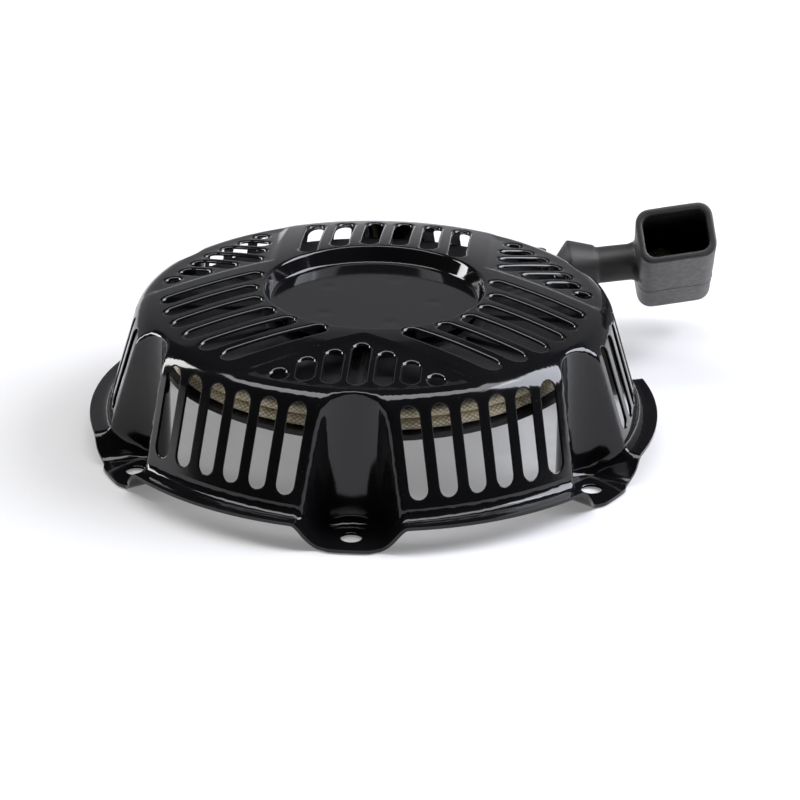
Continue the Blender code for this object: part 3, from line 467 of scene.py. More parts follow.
def enamel_material(colour):
    """Black stoved enamel on pressed steel: a wet gloss with a faint ripple and a little dust."""
    material, tree, shader, place = new_material("stoved_enamel", {"IOR": 1.45})
    cloud = add_node(tree, "ShaderNodeTexNoise", {"Scale": grains(22 * MM), "Detail": 5.0}, {"Vector": place})
    tone = add_node(tree, "ShaderNodeValToRGB", None, {"Fac": cloud.outputs["Fac"]})
    tone.color_ramp.elements[0].color = linear(colour)
    tone.color_ramp.elements[1].color = linear("#121214")
    dust = add_node(tree, "ShaderNodeTexVoronoi", {"Scale": grains(3.2 * MM)}, {"Vector": place})
    speck = add_node(
        tree,
        "ShaderNodeMapRange",
        {"From Min": 0.045, "From Max": 0.03, "To Min": 0.0, "To Max": 0.5},
        {"Value": dust.outputs["Distance"]},
    )
    base = add_node(
        tree,
        "ShaderNodeMix",
        {"data_type": "RGBA", 7: linear("#6E6A64")},
        {0: speck.outputs["Result"], 6: tone.outputs["Color"]},
    )
    tree.links.new(base.outputs[2], shader.inputs["Base Color"])
    sheen = add_node(
        tree,
        "ShaderNodeMapRange",
        {"From Min": 0.3, "From Max": 0.7, "To Min": 0.05, "To Max": 0.12},
        {"Value": cloud.outputs["Fac"]},
    )
    tree.links.new(sheen.outputs["Result"], shader.inputs["Roughness"])
    ripple = add_node(
        tree, "ShaderNodeTexNoise", {"Scale": grains(2.6 * MM), "Detail": 2.0}, {"Vector": place}
    )
    bump = add_node(
        tree, "ShaderNodeBump", {"Strength": 0.05, "Distance": 0.1 * MM}, {"Height": ripple.outputs["Fac"]}
    )
    tree.links.new(bump.outputs["Normal"], shader.inputs["Normal"])
    return material


def rubber_material(colour):
    """Compression-moulded rubber: matt, with a spark-eroded mottle and a chalky bloom."""
    material, tree, shader, place = new_material("moulded_rubber", {"IOR": 1.45})
    mottle = add_node(
        tree, "ShaderNodeTexNoise", {"Scale": grains(2.2 * MM), "Detail": 6.0}, {"Vector": place}
    )
    tone = add_node(tree, "ShaderNodeValToRGB", None, {"Fac": mottle.outputs["Fac"]})
    tone.color_ramp.elements[0].position = 0.3
    tone.color_ramp.elements[0].color = linear(colour)
    tone.color_ramp.elements[1].position = 0.75
    tone.color_ramp.elements[1].color = linear("#2E2C2B")
    tree.links.new(tone.outputs["Color"], shader.inputs["Base Color"])
    matt = add_node(
        tree,
        "ShaderNodeMapRange",
        {"From Min": 0.3, "From Max": 0.7, "To Min": 0.42, "To Max": 0.56},
        {"Value": mottle.outputs["Fac"]},
    )
    tree.links.new(matt.outputs["Result"], shader.inputs["Roughness"])
    grain = add_node(
        tree, "ShaderNodeTexNoise", {"Scale": grains(0.7 * MM), "Detail": 3.0}, {"Vector": place}
    )
    bump = add_node(
        tree, "ShaderNodeBump", {"Strength": 0.35, "Distance": 0.1 * MM}, {"Height": grain.outputs["Fac"]}
    )
    tree.links.new(bump.outputs["Normal"], shader.inputs["Normal"])
    return material


def braid_material(settings, name, yarn):
    """Braided polyester starter rope: cream yarn in diamonds, painted shade in the grooves between strands,
    and oily flecks of grime.
    """
    material, tree, shader, place = new_material(name, {"Roughness": 0.82, "IOR": 1.45})
    shader.inputs["Sheen Weight"].default_value = 0.3
    chart = add_node(tree, "ShaderNodeUVMap", {"uv_map": "braid"}).outputs["UV"]
    split = add_node(tree, "ShaderNodeSeparateXYZ", None, {"Vector": chart})
    waves = []
    for way in (1, -1):
        turns = add_node(
            tree,
            "ShaderNodeMath",
            {"operation": "MULTIPLY", 1: math.pi * settings.carriers},
            {0: split.outputs["X"]},
        )
        phase = add_node(
            tree,
            "ShaderNodeMath",
            {"operation": "MULTIPLY_ADD", 1: way * math.pi / settings.advance},
            {0: split.outputs["Y"], 2: turns.outputs["Value"]},
        )
        wave = add_node(tree, "ShaderNodeMath", {"operation": "SINE"}, {0: phase.outputs["Value"]})
        waves.append(wave.outputs["Value"])
    weave = add_node(tree, "ShaderNodeMath", {"operation": "MULTIPLY"}, {0: waves[0], 1: waves[1]})
    crown = add_node(tree, "ShaderNodeMath", {"operation": "ABSOLUTE"}, {0: weave.outputs["Value"]})
    grime = add_node(
        tree, "ShaderNodeTexNoise", {"Scale": grains(4.5 * MM), "Detail": 6.0}, {"Vector": place}
    )
    dirt = add_node(
        tree,
        "ShaderNodeMapRange",
        {"From Min": 0.45, "From Max": 0.75, "To Min": 0.0, "To Max": 0.5},
        {"Value": grime.outputs["Fac"]},
    )
    clean = add_node(
        tree,
        "ShaderNodeMath",
        {"operation": "SUBTRACT", "use_clamp": True},
        {0: crown.outputs["Value"], 1: dirt.outputs["Result"]},
    )
    # The ramp's dark end is painted shade in the grooves between strands; the grime patches take that colour
    # too.
    tone = add_node(tree, "ShaderNodeValToRGB", None, {"Fac": clean.outputs["Value"]})
    tone.color_ramp.elements[0].color = linear(settings.groove)
    tone.color_ramp.elements[1].position = 0.42
    tone.color_ramp.elements[1].color = linear(yarn)
    tree.links.new(tone.outputs["Color"], shader.inputs["Base Color"])
    bump = add_node(
        tree, "ShaderNodeBump", {"Strength": 0.5, "Distance": 0.2 * MM}, {"Height": crown.outputs["Value"]}
    )
    tree.links.new(bump.outputs["Normal"], shader.inputs["Normal"])
    return material


def nylon_material(colour):
    """Glass-filled nylon moulding: black, dull, with a fine pitted skin."""
    material, tree, shader, place = new_material("filled_nylon", {"IOR": 1.53})
    pits = add_node(tree, "ShaderNodeTexNoise", {"Scale": grains(0.8 * MM), "Detail": 4.0}, {"Vector": place})
    tone = add_node(tree, "ShaderNodeValToRGB", None, {"Fac": pits.outputs["Fac"]})
    tone.color_ramp.elements[0].color = linear(colour)
    tone.color_ramp.elements[1].color = linear("#17171A")
    tree.links.new(tone.outputs["Color"], shader.inputs["Base Color"])
    dull = add_node(
        tree,
        "ShaderNodeMapRange",
        {"From Min": 0.3, "From Max": 0.7, "To Min": 0.45, "To Max": 0.62},
        {"Value": pits.outputs["Fac"]},
    )
    tree.links.new(dull.outputs["Result"], shader.inputs["Roughness"])
    bump = add_node(
        tree, "ShaderNodeBump", {"Strength": 0.25, "Distance": 0.05 * MM}, {"Height": pits.outputs["Fac"]}
    )
    tree.links.new(bump.outputs["Normal"], shader.inputs["Normal"])
    return material


def zinc_material(colour):
    """Bright zinc plate on stamped steel: soft spangle, slightly warm, with rolling scuffs."""
    material, tree, shader, place = new_material("zinc_plate", {"Metallic": 1.0})
    spangle = add_node(
        tree, "ShaderNodeTexNoise", {"Scale": grains(5 * MM), "Detail": 4.0}, {"Vector": place}
    )
    tone = add_node(tree, "ShaderNodeValToRGB", None, {"Fac": spangle.outputs["Fac"]})
    tone.color_ramp.elements[0].position = 0.3
    tone.color_ramp.elements[0].color = linear("#9C9A92")
    tone.color_ramp.elements[1].position = 0.7
    tone.color_ramp.elements[1].color = linear(colour)
    tree.links.new(tone.outputs["Color"], shader.inputs["Base Color"])
    stretch = add_node(tree, "ShaderNodeMapping", {"Scale": (1.0, 12.0, 1.0)}, {"Vector": place})
    scuff = add_node(
        tree,
        "ShaderNodeTexNoise",
        {"Scale": grains(6 * MM), "Detail": 4.0},
        {"Vector": stretch.outputs["Vector"]},
    )
    rough = add_node(
        tree,
        "ShaderNodeMapRange",
        {"From Min": 0.3, "From Max": 0.7, "To Min": 0.22, "To Max": 0.42},
        {"Value": scuff.outputs["Fac"]},
    )
    tree.links.new(rough.outputs["Result"], shader.inputs["Roughness"])
    return material


def spring_material(colour):
    """Blued spring strip and wire: dark steel with an oily bloom."""
    material, tree, shader, place = new_material("blued_spring_steel", {"Metallic": 1.0})
    bloom = add_node(tree, "ShaderNodeTexNoise", {"Scale": grains(7 * MM), "Detail": 3.0}, {"Vector": place})
    tone = add_node(tree, "ShaderNodeValToRGB", None, {"Fac": bloom.outputs["Fac"]})
    tone.color_ramp.elements[0].color = linear("#4A4B52")
    tone.color_ramp.elements[1].color = linear(colour)
    tree.links.new(tone.outputs["Color"], shader.inputs["Base Color"])
    rough = add_node(
        tree,
        "ShaderNodeMapRange",
        {"From Min": 0.3, "From Max": 0.7, "To Min": 0.2, "To Max": 0.38},
        {"Value": bloom.outputs["Fac"]},
    )
    tree.links.new(rough.outputs["Result"], shader.inputs["Roughness"])
    return material


# ---------------------------------------------------------------- cover surface
#
# The cover is drawn on a flat chart: a point's direction is its heading and its distance from the
# middle is `run`, which grows over the recess, the dome, the shoulder, the wall and the foot in turn.

FLANGE_TOP_Z = SHEET + FLANGE_LIFT
DOME_SLOPE = 1.5 * DOME_DROP / (DOME_EDGE_R - CREST_R)


def dome_z(r):
    """Height of the top outside the recess: a curve that runs on straight past the slots."""
    share = max(0.0, min(r, DOME_EDGE_R) - CREST_R) / (DOME_EDGE_R - CREST_R)
    return CREST_Z - DOME_DROP * share**1.5 - DOME_SLOPE * max(0.0, r - DOME_EDGE_R)


def corner_arc(before, corner, after, radius):
    """Arc in a corner: its centre, its radius, and its first and last angles."""
    to_before = (Vector(before) - Vector(corner)).normalized()
    to_after = (Vector(after) - Vector(corner)).normalized()
    half = to_before.angle(to_after) / 2
    centre = Vector(corner) + (to_before + to_after).normalized() * (radius / math.sin(half))
    reach = radius / math.tan(half)
    first = Vector(corner) + to_before * reach - centre
    last = Vector(corner) + to_after * reach - centre
    return centre, radius, math.atan2(first.y, first.x), math.atan2(last.y, last.x)


def shoulder_corner():
    lean = math.tan(WALL_DRAFT)
    edge_z = dome_z(DOME_EDGE_R)
    rise = WALL_TOP_Z - edge_z + DOME_SLOPE * (WALL_TOP_R - DOME_EDGE_R)
    corner_z = WALL_TOP_Z - rise / (1 - DOME_SLOPE * lean)
    corner = (WALL_TOP_R + (WALL_TOP_Z - corner_z) * lean, corner_z)
    return corner_arc((DOME_EDGE_R, edge_z), corner, (corner[0] + lean, corner_z - 1), SHOULDER_R)


SHOULDER_CENTRE, _, SHOULDER_FIRST, SHOULDER_LAST = shoulder_corner()
RECESS_TOP_R = RECESS_FLOOR_R + (CREST_Z - RECESS_FLOOR_Z) * RECESS_LEAN
FLOOR_ARC = corner_arc(
    (0, RECESS_FLOOR_Z), (RECESS_FLOOR_R, RECESS_FLOOR_Z), (RECESS_TOP_R, CREST_Z), FLOOR_ROUND
)
CREST_ARC = corner_arc(
    (RECESS_FLOOR_R, RECESS_FLOOR_Z), (RECESS_TOP_R, CREST_Z), (CREST_R + MM, CREST_Z), CREST_ROUND
)


def arc_points(arc, steps):
    centre, radius, first, last = arc
    swing = (last - first + math.pi) % (2 * math.pi) - math.pi
    angles = [first + swing * i / steps for i in range(steps + 1)]
    return [(centre.x + radius * math.cos(a), centre.y + radius * math.sin(a)) for a in angles]


RECESS_WALL = arc_points(FLOOR_ARC, 5) + arc_points(CREST_ARC, 6)
RECESS_RUN = 1.0 * MM  # chart distance between the rows of the recess wall
FLOOR_END = RECESS_WALL[0][0]
RUN_DOME = FLOOR_END + RECESS_RUN * (len(RECESS_WALL) - 1)
DOME_START_R = RECESS_WALL[-1][0]
SHOULDER_START_R = SHOULDER_CENTRE.x + SHOULDER_R * math.cos(SHOULDER_FIRST)
RUN_SHOULDER = RUN_DOME + SHOULDER_START_R - DOME_START_R
RUN_WALL = RUN_SHOULDER + SHOULDER_R * (SHOULDER_FIRST - SHOULDER_LAST)
WALL_START_Z = SHOULDER_CENTRE.y + SHOULDER_R * math.sin(SHOULDER_LAST)
WALL_END_Z = WALL_SLOT_LOW - 1.0 * MM
RUN_SKIRT = RUN_WALL + (WALL_START_Z - WALL_END_Z) / math.cos(WALL_DRAFT)
SKIRT_RUN = 5.0 * MM  # chart distances given to the last of the wall, the fillet and the foot
RUN_FILLET = RUN_SKIRT + SKIRT_RUN
RUN_FOOT = RUN_FILLET + WALL_FOOT_FILLET * math.pi / 2
FOOT_RUN = 12.0 * MM
RUN_RIM = RUN_FOOT + FOOT_RUN


def flute_reach(angle):
    """Radius of the hollow over the nearest foot; past its sides it runs on straight."""
    to_foot = math.radians(abs(from_nearest(angle, 360 / FEET)))
    reach = FLUTE_CENTRE_R * math.sin(to_foot)
    edge = 0.93 * FLUTE_R
    inside = min(reach, edge)
    r = FLUTE_CENTRE_R * math.cos(to_foot) - math.sqrt(FLUTE_R**2 - inside**2)
    return r + max(0.0, reach - edge) * edge / math.sqrt(FLUTE_R**2 - edge**2)


def outlet_reach(angle, z):
    """Radius of the rope outlet's face or outer side at a heading and height."""
    spoke = heading(angle)
    flat = Vector((math.cos(PULL_HEADING), math.sin(PULL_HEADING), 0))
    forward = spoke.dot(flat)
    aside = spoke.dot(Vector((-flat.y, flat.x, 0)))
    if forward < 0.3 or aside < 0.3:
        return 0.0
    origin = PULL.translation
    face = (origin - UP * z).dot(PULL_DIRECTION) / spoke.dot(PULL_DIRECTION)
    side = (OUTLET_ASIDE + OUTLET_HALF) / aside
    over = abs(z - OUTLET_Z) - (OUTLET_HALF - 12 * MM / OUTLET_SIDE_SLOPE)
    return soft_min(face, side, 2.0 * MM) - OUTLET_SIDE_SLOPE * max(0.0, over)


def wall_r(angle, z, r):
    """Radius of the outer wall, where r is the shoulder's or wall's own radius at this height."""
    to_foot = math.radians(abs(from_nearest(angle, 360 / FEET)))
    line = WALL_TOP_R + (WALL_TOP_Z - z) * math.tan(WALL_DRAFT)
    bow = (line * math.sin(math.pi / FEET - to_foot)) ** 2 / 2 * (1 / line - 1 / PANEL_BOW_R)
    shown = smooth_step((SHOULDER_CENTRE.y + SHOULDER_R - z) / SHOULDER_R)
    made = soft_min(r + bow * shown, flute_reach(angle), 2.0 * MM)
    return -soft_min(-made, -outlet_reach(angle, z), 1.2 * MM)


def base_z(angle):
    to_foot = abs(from_nearest(angle, 360 / FEET))
    share = (to_foot - FOOT_HALF_ANGLE + 0.5) / (RAMP_END_ANGLE - FOOT_HALF_ANGLE + 1.0)
    return SHEET + FLANGE_LIFT * smooth_step(share)


def rim_r(angle):
    """Radius of the rim: the feet's corners are clipped a little."""
    to_corner = abs(abs(from_nearest(angle, 360 / FEET)) - FOOT_HALF_ANGLE)
    return FLANGE_R - (FLANGE_R - FOOT_CORNER_R) * (1 - smooth_step(to_corner / 2.6))


def foot_start_r(angle):
    z = base_z(angle) + WALL_FOOT_FILLET
    return wall_r(angle, z, WALL_TOP_R + (WALL_TOP_Z - z) * math.tan(WALL_DRAFT))


def step_drop(point, r):
    """How far the top is stepped down between the raised bands."""
    off = math.radians(abs(from_nearest(heading_of(point), 360 / BANDS)))
    beyond = r * math.sin(math.pi / BANDS - off) - BAND_HALF_WIDTH
    fade = smooth_step((WALL_TOP_R - r) / (WALL_TOP_R - DOME_EDGE_R))
    return BAND_STEP_DROP * smooth_step(beyond / BAND_STEP_WIDTH) * fade


def weld_dimples(point):
    """Shallow marks in the recess floor over the welds that hold the post's plate."""
    depth = 0.0
    for number in range(5):
        spot = heading(20 + 72 * number) * 21 * MM
        depth += 0.16 * MM * math.exp(-((point - spot).length / (1.7 * MM)) ** 2)
    return depth


def surface(chart):
    """Point of the cover's outer face for a point of the flat chart."""
    run = chart.length
    angle = heading_of(chart)
    spoke = heading(angle)
    if run < FLOOR_END:
        return spoke * run + UP * (RECESS_FLOOR_Z - weld_dimples(spoke * run))
    if run < RUN_DOME:
        row = (run - FLOOR_END) / RECESS_RUN
        low = min(int(row), len(RECESS_WALL) - 2)
        r, z = Vector(RECESS_WALL[low]).lerp(Vector(RECESS_WALL[low + 1]), row - low)
        return spoke * r + UP * z
    if run < RUN_SHOULDER:
        r = run - RUN_DOME + DOME_START_R
        return spoke * r + UP * (dome_z(r) - step_drop(spoke, r))
    if run < RUN_WALL:
        turn = SHOULDER_FIRST - (run - RUN_SHOULDER) / SHOULDER_R
        r = SHOULDER_CENTRE.x + SHOULDER_R * math.cos(turn)
        z = SHOULDER_CENTRE.y + SHOULDER_R * math.sin(turn)
        z -= step_drop(spoke, r)
        return spoke * wall_r(angle, z, r) + UP * z
    if run < RUN_FILLET:
        z = WALL_START_Z - (run - RUN_WALL) * math.cos(WALL_DRAFT)
        if run > RUN_SKIRT:
            share = (run - RUN_SKIRT) / SKIRT_RUN
            z = WALL_END_Z + (base_z(angle) + WALL_FOOT_FILLET - WALL_END_Z) * share
        r = WALL_TOP_R + (WALL_TOP_Z - z) * math.tan(WALL_DRAFT)
        return spoke * wall_r(angle, z, r) + UP * z
    start = foot_start_r(angle)
    if run < RUN_FOOT:
        turn = (run - RUN_FILLET) / WALL_FOOT_FILLET
        r = start + WALL_FOOT_FILLET * (1 - math.cos(turn))
        return spoke * r + UP * (base_z(angle) + WALL_FOOT_FILLET * (1 - math.sin(turn)))
    share = (run - RUN_FOOT) / FOOT_RUN
    start += WALL_FOOT_FILLET
    return spoke * (start + (rim_r(angle) - start) * share) + UP * base_z(angle)


def chart_of_top(point):
    """Chart point of a spot on the dome or shoulder, seen from above."""
    r = point.xy.length
    if r < SHOULDER_START_R:
        run = RUN_DOME + r - DOME_START_R
    else:
        turn = math.acos(min(1.0, (r - SHOULDER_CENTRE.x) / SHOULDER_R))
        run = RUN_SHOULDER + SHOULDER_R * (SHOULDER_FIRST - turn)
    return point.xy.normalized() * run


def chart_of_wall(spoke, z):
    """Chart point of a spot on the shoulder or wall, from its direction and height."""
    if z > WALL_START_Z:
        turn = math.asin((z - SHOULDER_CENTRE.y) / SHOULDER_R)
        run = RUN_SHOULDER + SHOULDER_R * (SHOULDER_FIRST - turn)
    else:
        run = RUN_WALL + (WALL_START_Z - z) / math.cos(WALL_DRAFT)
    return spoke.xy.normalized() * run


def chart_of_foot(point):
    angle = heading_of(point)
    start = foot_start_r(angle) + WALL_FOOT_FILLET
    share = (point.xy.length - start) / (rim_r(angle) - start)
    return point.xy.normalized() * (RUN_FOOT + FOOT_RUN * share)


def on_panel(out, aside, offset, z):
    """Direction of the wall's point at a sideways offset from a panel's middle."""
    r = WALL_TOP_R + (WALL_TOP_Z - z) * math.tan(WALL_DRAFT)
    for _ in range(3):
        spoke = out * math.sqrt(max(r * r - offset * offset, 0.0)) + aside * offset
        line = WALL_TOP_R + (WALL_TOP_Z - z) * math.tan(WALL_DRAFT)
        if z > WALL_START_Z:
            line = SHOULDER_CENTRE.x + math.sqrt(max(SHOULDER_R**2 - (z - SHOULDER_CENTRE.y) ** 2, 0.0))
        r = wall_r(heading_of(spoke), z, line)
    return spoke


# ---------------------------------------------------------------- cover openings


def stadium(start, end, radius, pitch, turns):
    """Round-ended outline about a line along x: the same stations for any radius."""
    count = max(1, round((end - start) / pitch))
    points = []
    for side, first, last in ((-1, start, end), (1, end, start)):
        for i in range(count):
            points.append((first + (last - first) * i / count, side * radius))
        for i in range(turns):
            turn = math.radians(side * 90 + 180 * i / turns)
            points.append((last + radius * math.cos(turn), radius * math.sin(turn)))
    return points


def ring(radius, steps):
    turns = [2 * math.pi * i / steps for i in range(steps)]
    return [(radius * math.cos(turn), radius * math.sin(turn)) for turn in turns]


def rolled(lip, angles):
    """Distances out from an opening and drops there, for an edge rolled down to the last angle."""
    made = []
    for angle in angles:
        turn = math.radians(angle)
        made.append((lip * (1 - math.sin(turn)), lip * (1 - math.cos(turn))))
    made.append((lip + FLAT_RING, 0.0))
    return made


class Chart:
    """Points and fixed edges of the flat chart, which one triangulation turns into the sheet."""

    def __init__(self):
        self.points = []
        self.drops = []
        self.edges = []
        self.holes = []

    def add(self, point, drop=0.0):
        self.points.append(point)
        self.drops.append(drop)
        return len(self.points) - 1

    def add_opening(self, outlines):
        """Nested loops round an opening, the hole first, each a list of points and a drop."""
        for number, (outline, drop) in enumerate(outlines):
            loop = [self.add(point, drop) for point in outline]
            if number == 0:
                self.holes.append(loop)
            self.edges += [(loop[i - 1], loop[i]) for i in range(len(loop))]


def top_slot_lines():
    """Middle heading, sideways offset, start, end and width of each slot in the top."""
    for number in range(BANDS):
        middle = (number + 0.5) * 360 / BANDS
        for slot in range(LONG_SLOTS):
            offset = (slot - (LONG_SLOTS - 1) / 2) * LONG_SLOT_PITCH
            start = math.sqrt(LONG_SLOT_INNER_R**2 - offset**2)
            yield middle, offset, start, math.sqrt(DOME_EDGE_R**2 - offset**2), LONG_SLOT_WIDTH
        middle = number * 360 / BANDS
        count = len(SHORT_SLOT_STARTS)
        for slot in range(1 - count, count):
            offset = slot * SHORT_SLOT_PITCH
            start = SHORT_SLOT_STARTS[abs(slot)]
            end = max(math.sqrt(DOME_EDGE_R**2 - offset**2), start + SHORT_SLOT_WIDTH * ROUNDEST_SHORT_SLOT)
            yield middle, offset, start, end, SHORT_SLOT_WIDTH


def add_top_slots(chart, lip):
    for middle, offset, start, end, width in top_slot_lines():
        out, aside = heading(middle), heading(middle + 90)
        outlines = []
        for grow, drop in rolled(lip, (78, 58, 39, 20, 0)):
            local = stadium(start + width / 2, end - width / 2, width / 2 + grow, 1.5 * MM, 7)
            outline = [chart_of_top(out * x + aside * (y + offset)) for x, y in local]
            outlines.append((outline, drop))
        chart.add_opening(outlines)


def meets_outlet(spot):
    pull = Vector((math.cos(PULL_HEADING), math.sin(PULL_HEADING), 0))
    aside = Vector((-pull.y, pull.x, 0))
    clear = OUTLET_HALF + WALL_SLOT_WIDTH / 2
    return spot.dot(pull) > 0 and abs(spot.dot(aside) - OUTLET_ASIDE) < clear


def add_wall_slots(chart, lip):
    half = WALL_SLOT_WIDTH / 2
    for panel in range(FEET):
        out = heading((panel + 0.5) * 360 / FEET)
        aside = heading((panel + 0.5) * 360 / FEET + 90)
        for number in range(WALL_SLOTS):
            offset = (number - (WALL_SLOTS - 1) / 2) * WALL_SLOT_PITCH
            if meets_outlet(out * WALL_TOP_R + aside * offset):
                continue
            outlines = []
            for grow, drop in rolled(lip, (70, 35, 0)):
                local = stadium(WALL_SLOT_LOW + half, WALL_TOP_Z - half, half + grow, 1.6 * MM, 8)
                outline = [
                    chart_of_wall(on_panel(out, aside, offset - y, z), z) for z, y in local
                ]
                outlines.append((outline, drop))
            chart.add_opening(outlines)


def add_round_holes(chart, lip):
    """Bolt holes in the feet and the eyelet's hole in the outlet."""
    for foot in range(FEET):
        spot = heading(foot * 360 / FEET) * BOLT_CIRCLE_R
        outlines = []
        for grow, drop in rolled(lip, (70, 35, 0)):
            local = ring(BOLT_HOLE_R + grow, 24)
            outlines.append(([chart_of_foot(spot + Vector((x, y, 0))) for x, y in local], drop))
        chart.add_opening(outlines)
    outlines = []
    for grow, drop in rolled(lip, (70, 35, 0)):
        spots = [PULL @ Vector((0, y, z)) for y, z in ring(EYELET_HOLE_R + grow, 28)]
        outlines.append(([chart_of_wall(Vector((s.x, s.y, 0)), s.z) for s in spots], drop))
    chart.add_opening(outlines)


# ---------------------------------------------------------------- cover mesh


# Fineness of the cover's sheet: degrees from a foot, then distances along the chart.
PANEL_MIDDLE = 180 / FEET
PANEL_START = 13
FLUTE_EDGES = (4.0, 12.0)
FLUTE_EDGE_STEP = 0.62
RECESS_COLUMNS = 150
BEND_ROW = 0.9 * MM
SKIRT_ROW = 1.25 * MM
FOOT_ROW = 2.2 * MM
RIM_ROWS = (0.8 * MM, 0.25 * MM)
OUTLET_EDGE_ROWS = (44.6, 44.0, 43.4, 42.8, 27.6, 27.0, 26.4, 25.8, 25.2, 24.6)  # heights in mm
OUTLET_COLUMNS = (136, 0.5, 44)  # first heading, step, count
STEP_ROWS = (-0.5, 0.1, 0.6, 1.1, 1.7, 2.3, 2.8, 3.3, 3.9)  # mm out from the band's edge


def wall_headings(spacing):
    """Headings of the wall's columns: close at the flutes' edges and the ramps."""
    degrees = math.degrees(spacing / WALL_TOP_R)
    half = [0.0]
    while half[-1] < PANEL_MIDDLE - degrees:
        near = FLUTE_EDGES[0] <= half[-1] <= FLUTE_EDGES[1]
        half.append(half[-1] + (FLUTE_EDGE_STEP if near else degrees * 1.15))
    stretch = (PANEL_MIDDLE - PANEL_START) / (half[-1] + degrees - PANEL_START)
    half = [a if a < PANEL_START else PANEL_START + (a - PANEL_START) * stretch for a in half]
    columns = []
    for foot in range(FEET):
        middle = foot * 2 * PANEL_MIDDLE
        columns += [middle + a for a in half] + [middle + PANEL_MIDDLE]
        columns += [middle + 2 * PANEL_MIDDLE - a for a in reversed(half[1:])]
    return columns


def add_grid(chart, spacing):
    """Points of the smooth surface between the openings."""
    taken = kdtree.KDTree(len(chart.points))
    for i, point in enumerate(chart.points):
        taken.insert((point.x, point.y, 0.0), i)
    taken.balance()

    def place(point, clear):
        if taken.find((point.x, point.y, 0.0))[2] > clear:
            chart.add(point)

    rows = spread(0.0, FLOOR_END, spacing)[:-1]
    rows += [FLOOR_END + RECESS_RUN * i for i in range(len(RECESS_WALL))]
    rows += spread(RUN_DOME, RUN_SHOULDER, spacing)[1:-1]
    for number, run in enumerate(rows):
        on_wall = FLOOR_END <= run <= RUN_DOME
        count = RECESS_COLUMNS if on_wall else max(1, round(2 * math.pi * run / spacing))
        for i in range(count):
            angle = 360 * (i + 0.5 * (number % 2) * (not on_wall)) / count
            place(heading(angle).xy * run, 0.62 * spacing)
    columns = wall_headings(spacing)
    rows = spread(RUN_SHOULDER, RUN_WALL, BEND_ROW)[:-1]
    rows += spread(RUN_WALL, RUN_SKIRT, spacing * 1.15)[:-1]
    rows += spread(RUN_SKIRT, RUN_FILLET, SKIRT_ROW)[:-1]
    rows += spread(RUN_FILLET, RUN_FOOT, BEND_ROW)[:-1]
    rows += spread(RUN_FOOT, RUN_RIM - RIM_ROWS[0], FOOT_ROW) + [RUN_RIM - RIM_ROWS[1], RUN_RIM]
    for run in rows:
        for angle in columns:
            place(heading(angle).xy * run, 0.45 * spacing)
    first, step, count = OUTLET_COLUMNS
    for z in OUTLET_EDGE_ROWS:
        for i in range(count):
            place(chart_of_wall(heading(first + step * i), z * MM), 0.3 * spacing)


def spread(start, end, spacing):
    count = max(1, round((end - start) / spacing))
    return [start + (end - start) * i / count for i in range(count + 1)]


def add_step_lines(chart, spacing):
    """Rows of points along the steps beside the raised bands."""
    for number in range(BANDS):
        middle = number * 360 / BANDS
        for side in (-1, 1):
            across = heading(middle - side * 30)
            along = heading(middle + side * 60)
            for beyond in STEP_ROWS:
                distance = BAND_HALF_WIDTH + beyond * MM
                start = distance * math.tan(math.radians(30))
                for i in range(60):
                    point = across * distance + along * (start + i * 0.8 * spacing)
                    if point.length < SHOULDER_START_R - MM:
                        chart.add(chart_of_top(point))


def cover_sheet(settings):
    """Outer face of the cover, as one open sheet with its openings."""
    chart = Chart()
    add_top_slots(chart, settings.lip)
    add_wall_slots(chart, settings.pierced_lip)
    add_round_holes(chart, settings.pierced_lip)
    add_step_lines(chart, settings.spacing)
    add_grid(chart, settings.spacing)
    spots = [point / MM for point in chart.points]
    made = geometry.delaunay_2d_cdt(spots, chart.edges, chart.holes, 0, 1e-4)
    verts, _, faces, origins, _, covered = made
    bm = bmesh.new()
    placed = [bm.verts.new(surface(Vector((vert.x, vert.y, 0.0)) * MM)) for vert in verts]
    for face, holes in zip(faces, covered):
        if not holes:
            bm.faces.new([placed[i] for i in face])
    loose = [v for v in placed if not v.link_faces]
    bm.normal_update()
    drops = {}
    for number, origin in enumerate(origins):
        drop = max((chart.drops[i] for i in origin), default=0.0)
        if drop and placed[number].link_faces:
            drops[placed[number]] = drop
    smooth = {vert: level_normal(vert.co) for vert in drops}
    for vert, drop in drops.items():
        vert.co -= smooth[vert] * drop
    bmesh.ops.delete(bm, geom=loose, context="VERTS")
    return bm


def level_normal(point):
    """Direction that a lip is rolled away from: up on the top, straight out on wall and outlet."""
    r = point.xy.length
    if point.z < FLANGE_TOP_Z:
        return UP
    turn = smooth_step((r - SHOULDER_START_R) / (WALL_TOP_R - SHOULDER_START_R))
    if (PULL.inverted() @ point).length < 2 * EYELET_HOLE_R:
        return PULL_DIRECTION
    out = Vector((point.x, point.y, 0)).normalized() * math.cos(WALL_DRAFT) + UP * math.sin(WALL_DRAFT)
    return UP.lerp(out, turn).normalized()


class STARTER_OT_cover(bpy.types.Operator):
    """Press the cover: recess, slotted dome, fluted wall, feet and rope outlet"""

    bl_idname = "starter.cover"
    bl_label = "Cover"

    def execute(self, context):
        settings = context.scene.starter_cover
        enamel = enamel_material(settings.enamel)
        cover = add_piece("cover_pressing", cover_sheet(settings), enamel, "housing")
        sheet = cover.modifiers.new("sheet", "SOLIDIFY")
        sheet.thickness = SHEET
        sheet.offset = -1.0
        sheet.use_even_offset = False
        settle(cover, 50.0)
        level = cover.modifiers.new("level", "WEIGHTED_NORMAL")
        level.keep_sharp = True
        settle(cover, None)
        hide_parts("cover")
        return {"FINISHED"}


# ---------------------------------------------------------------- grip


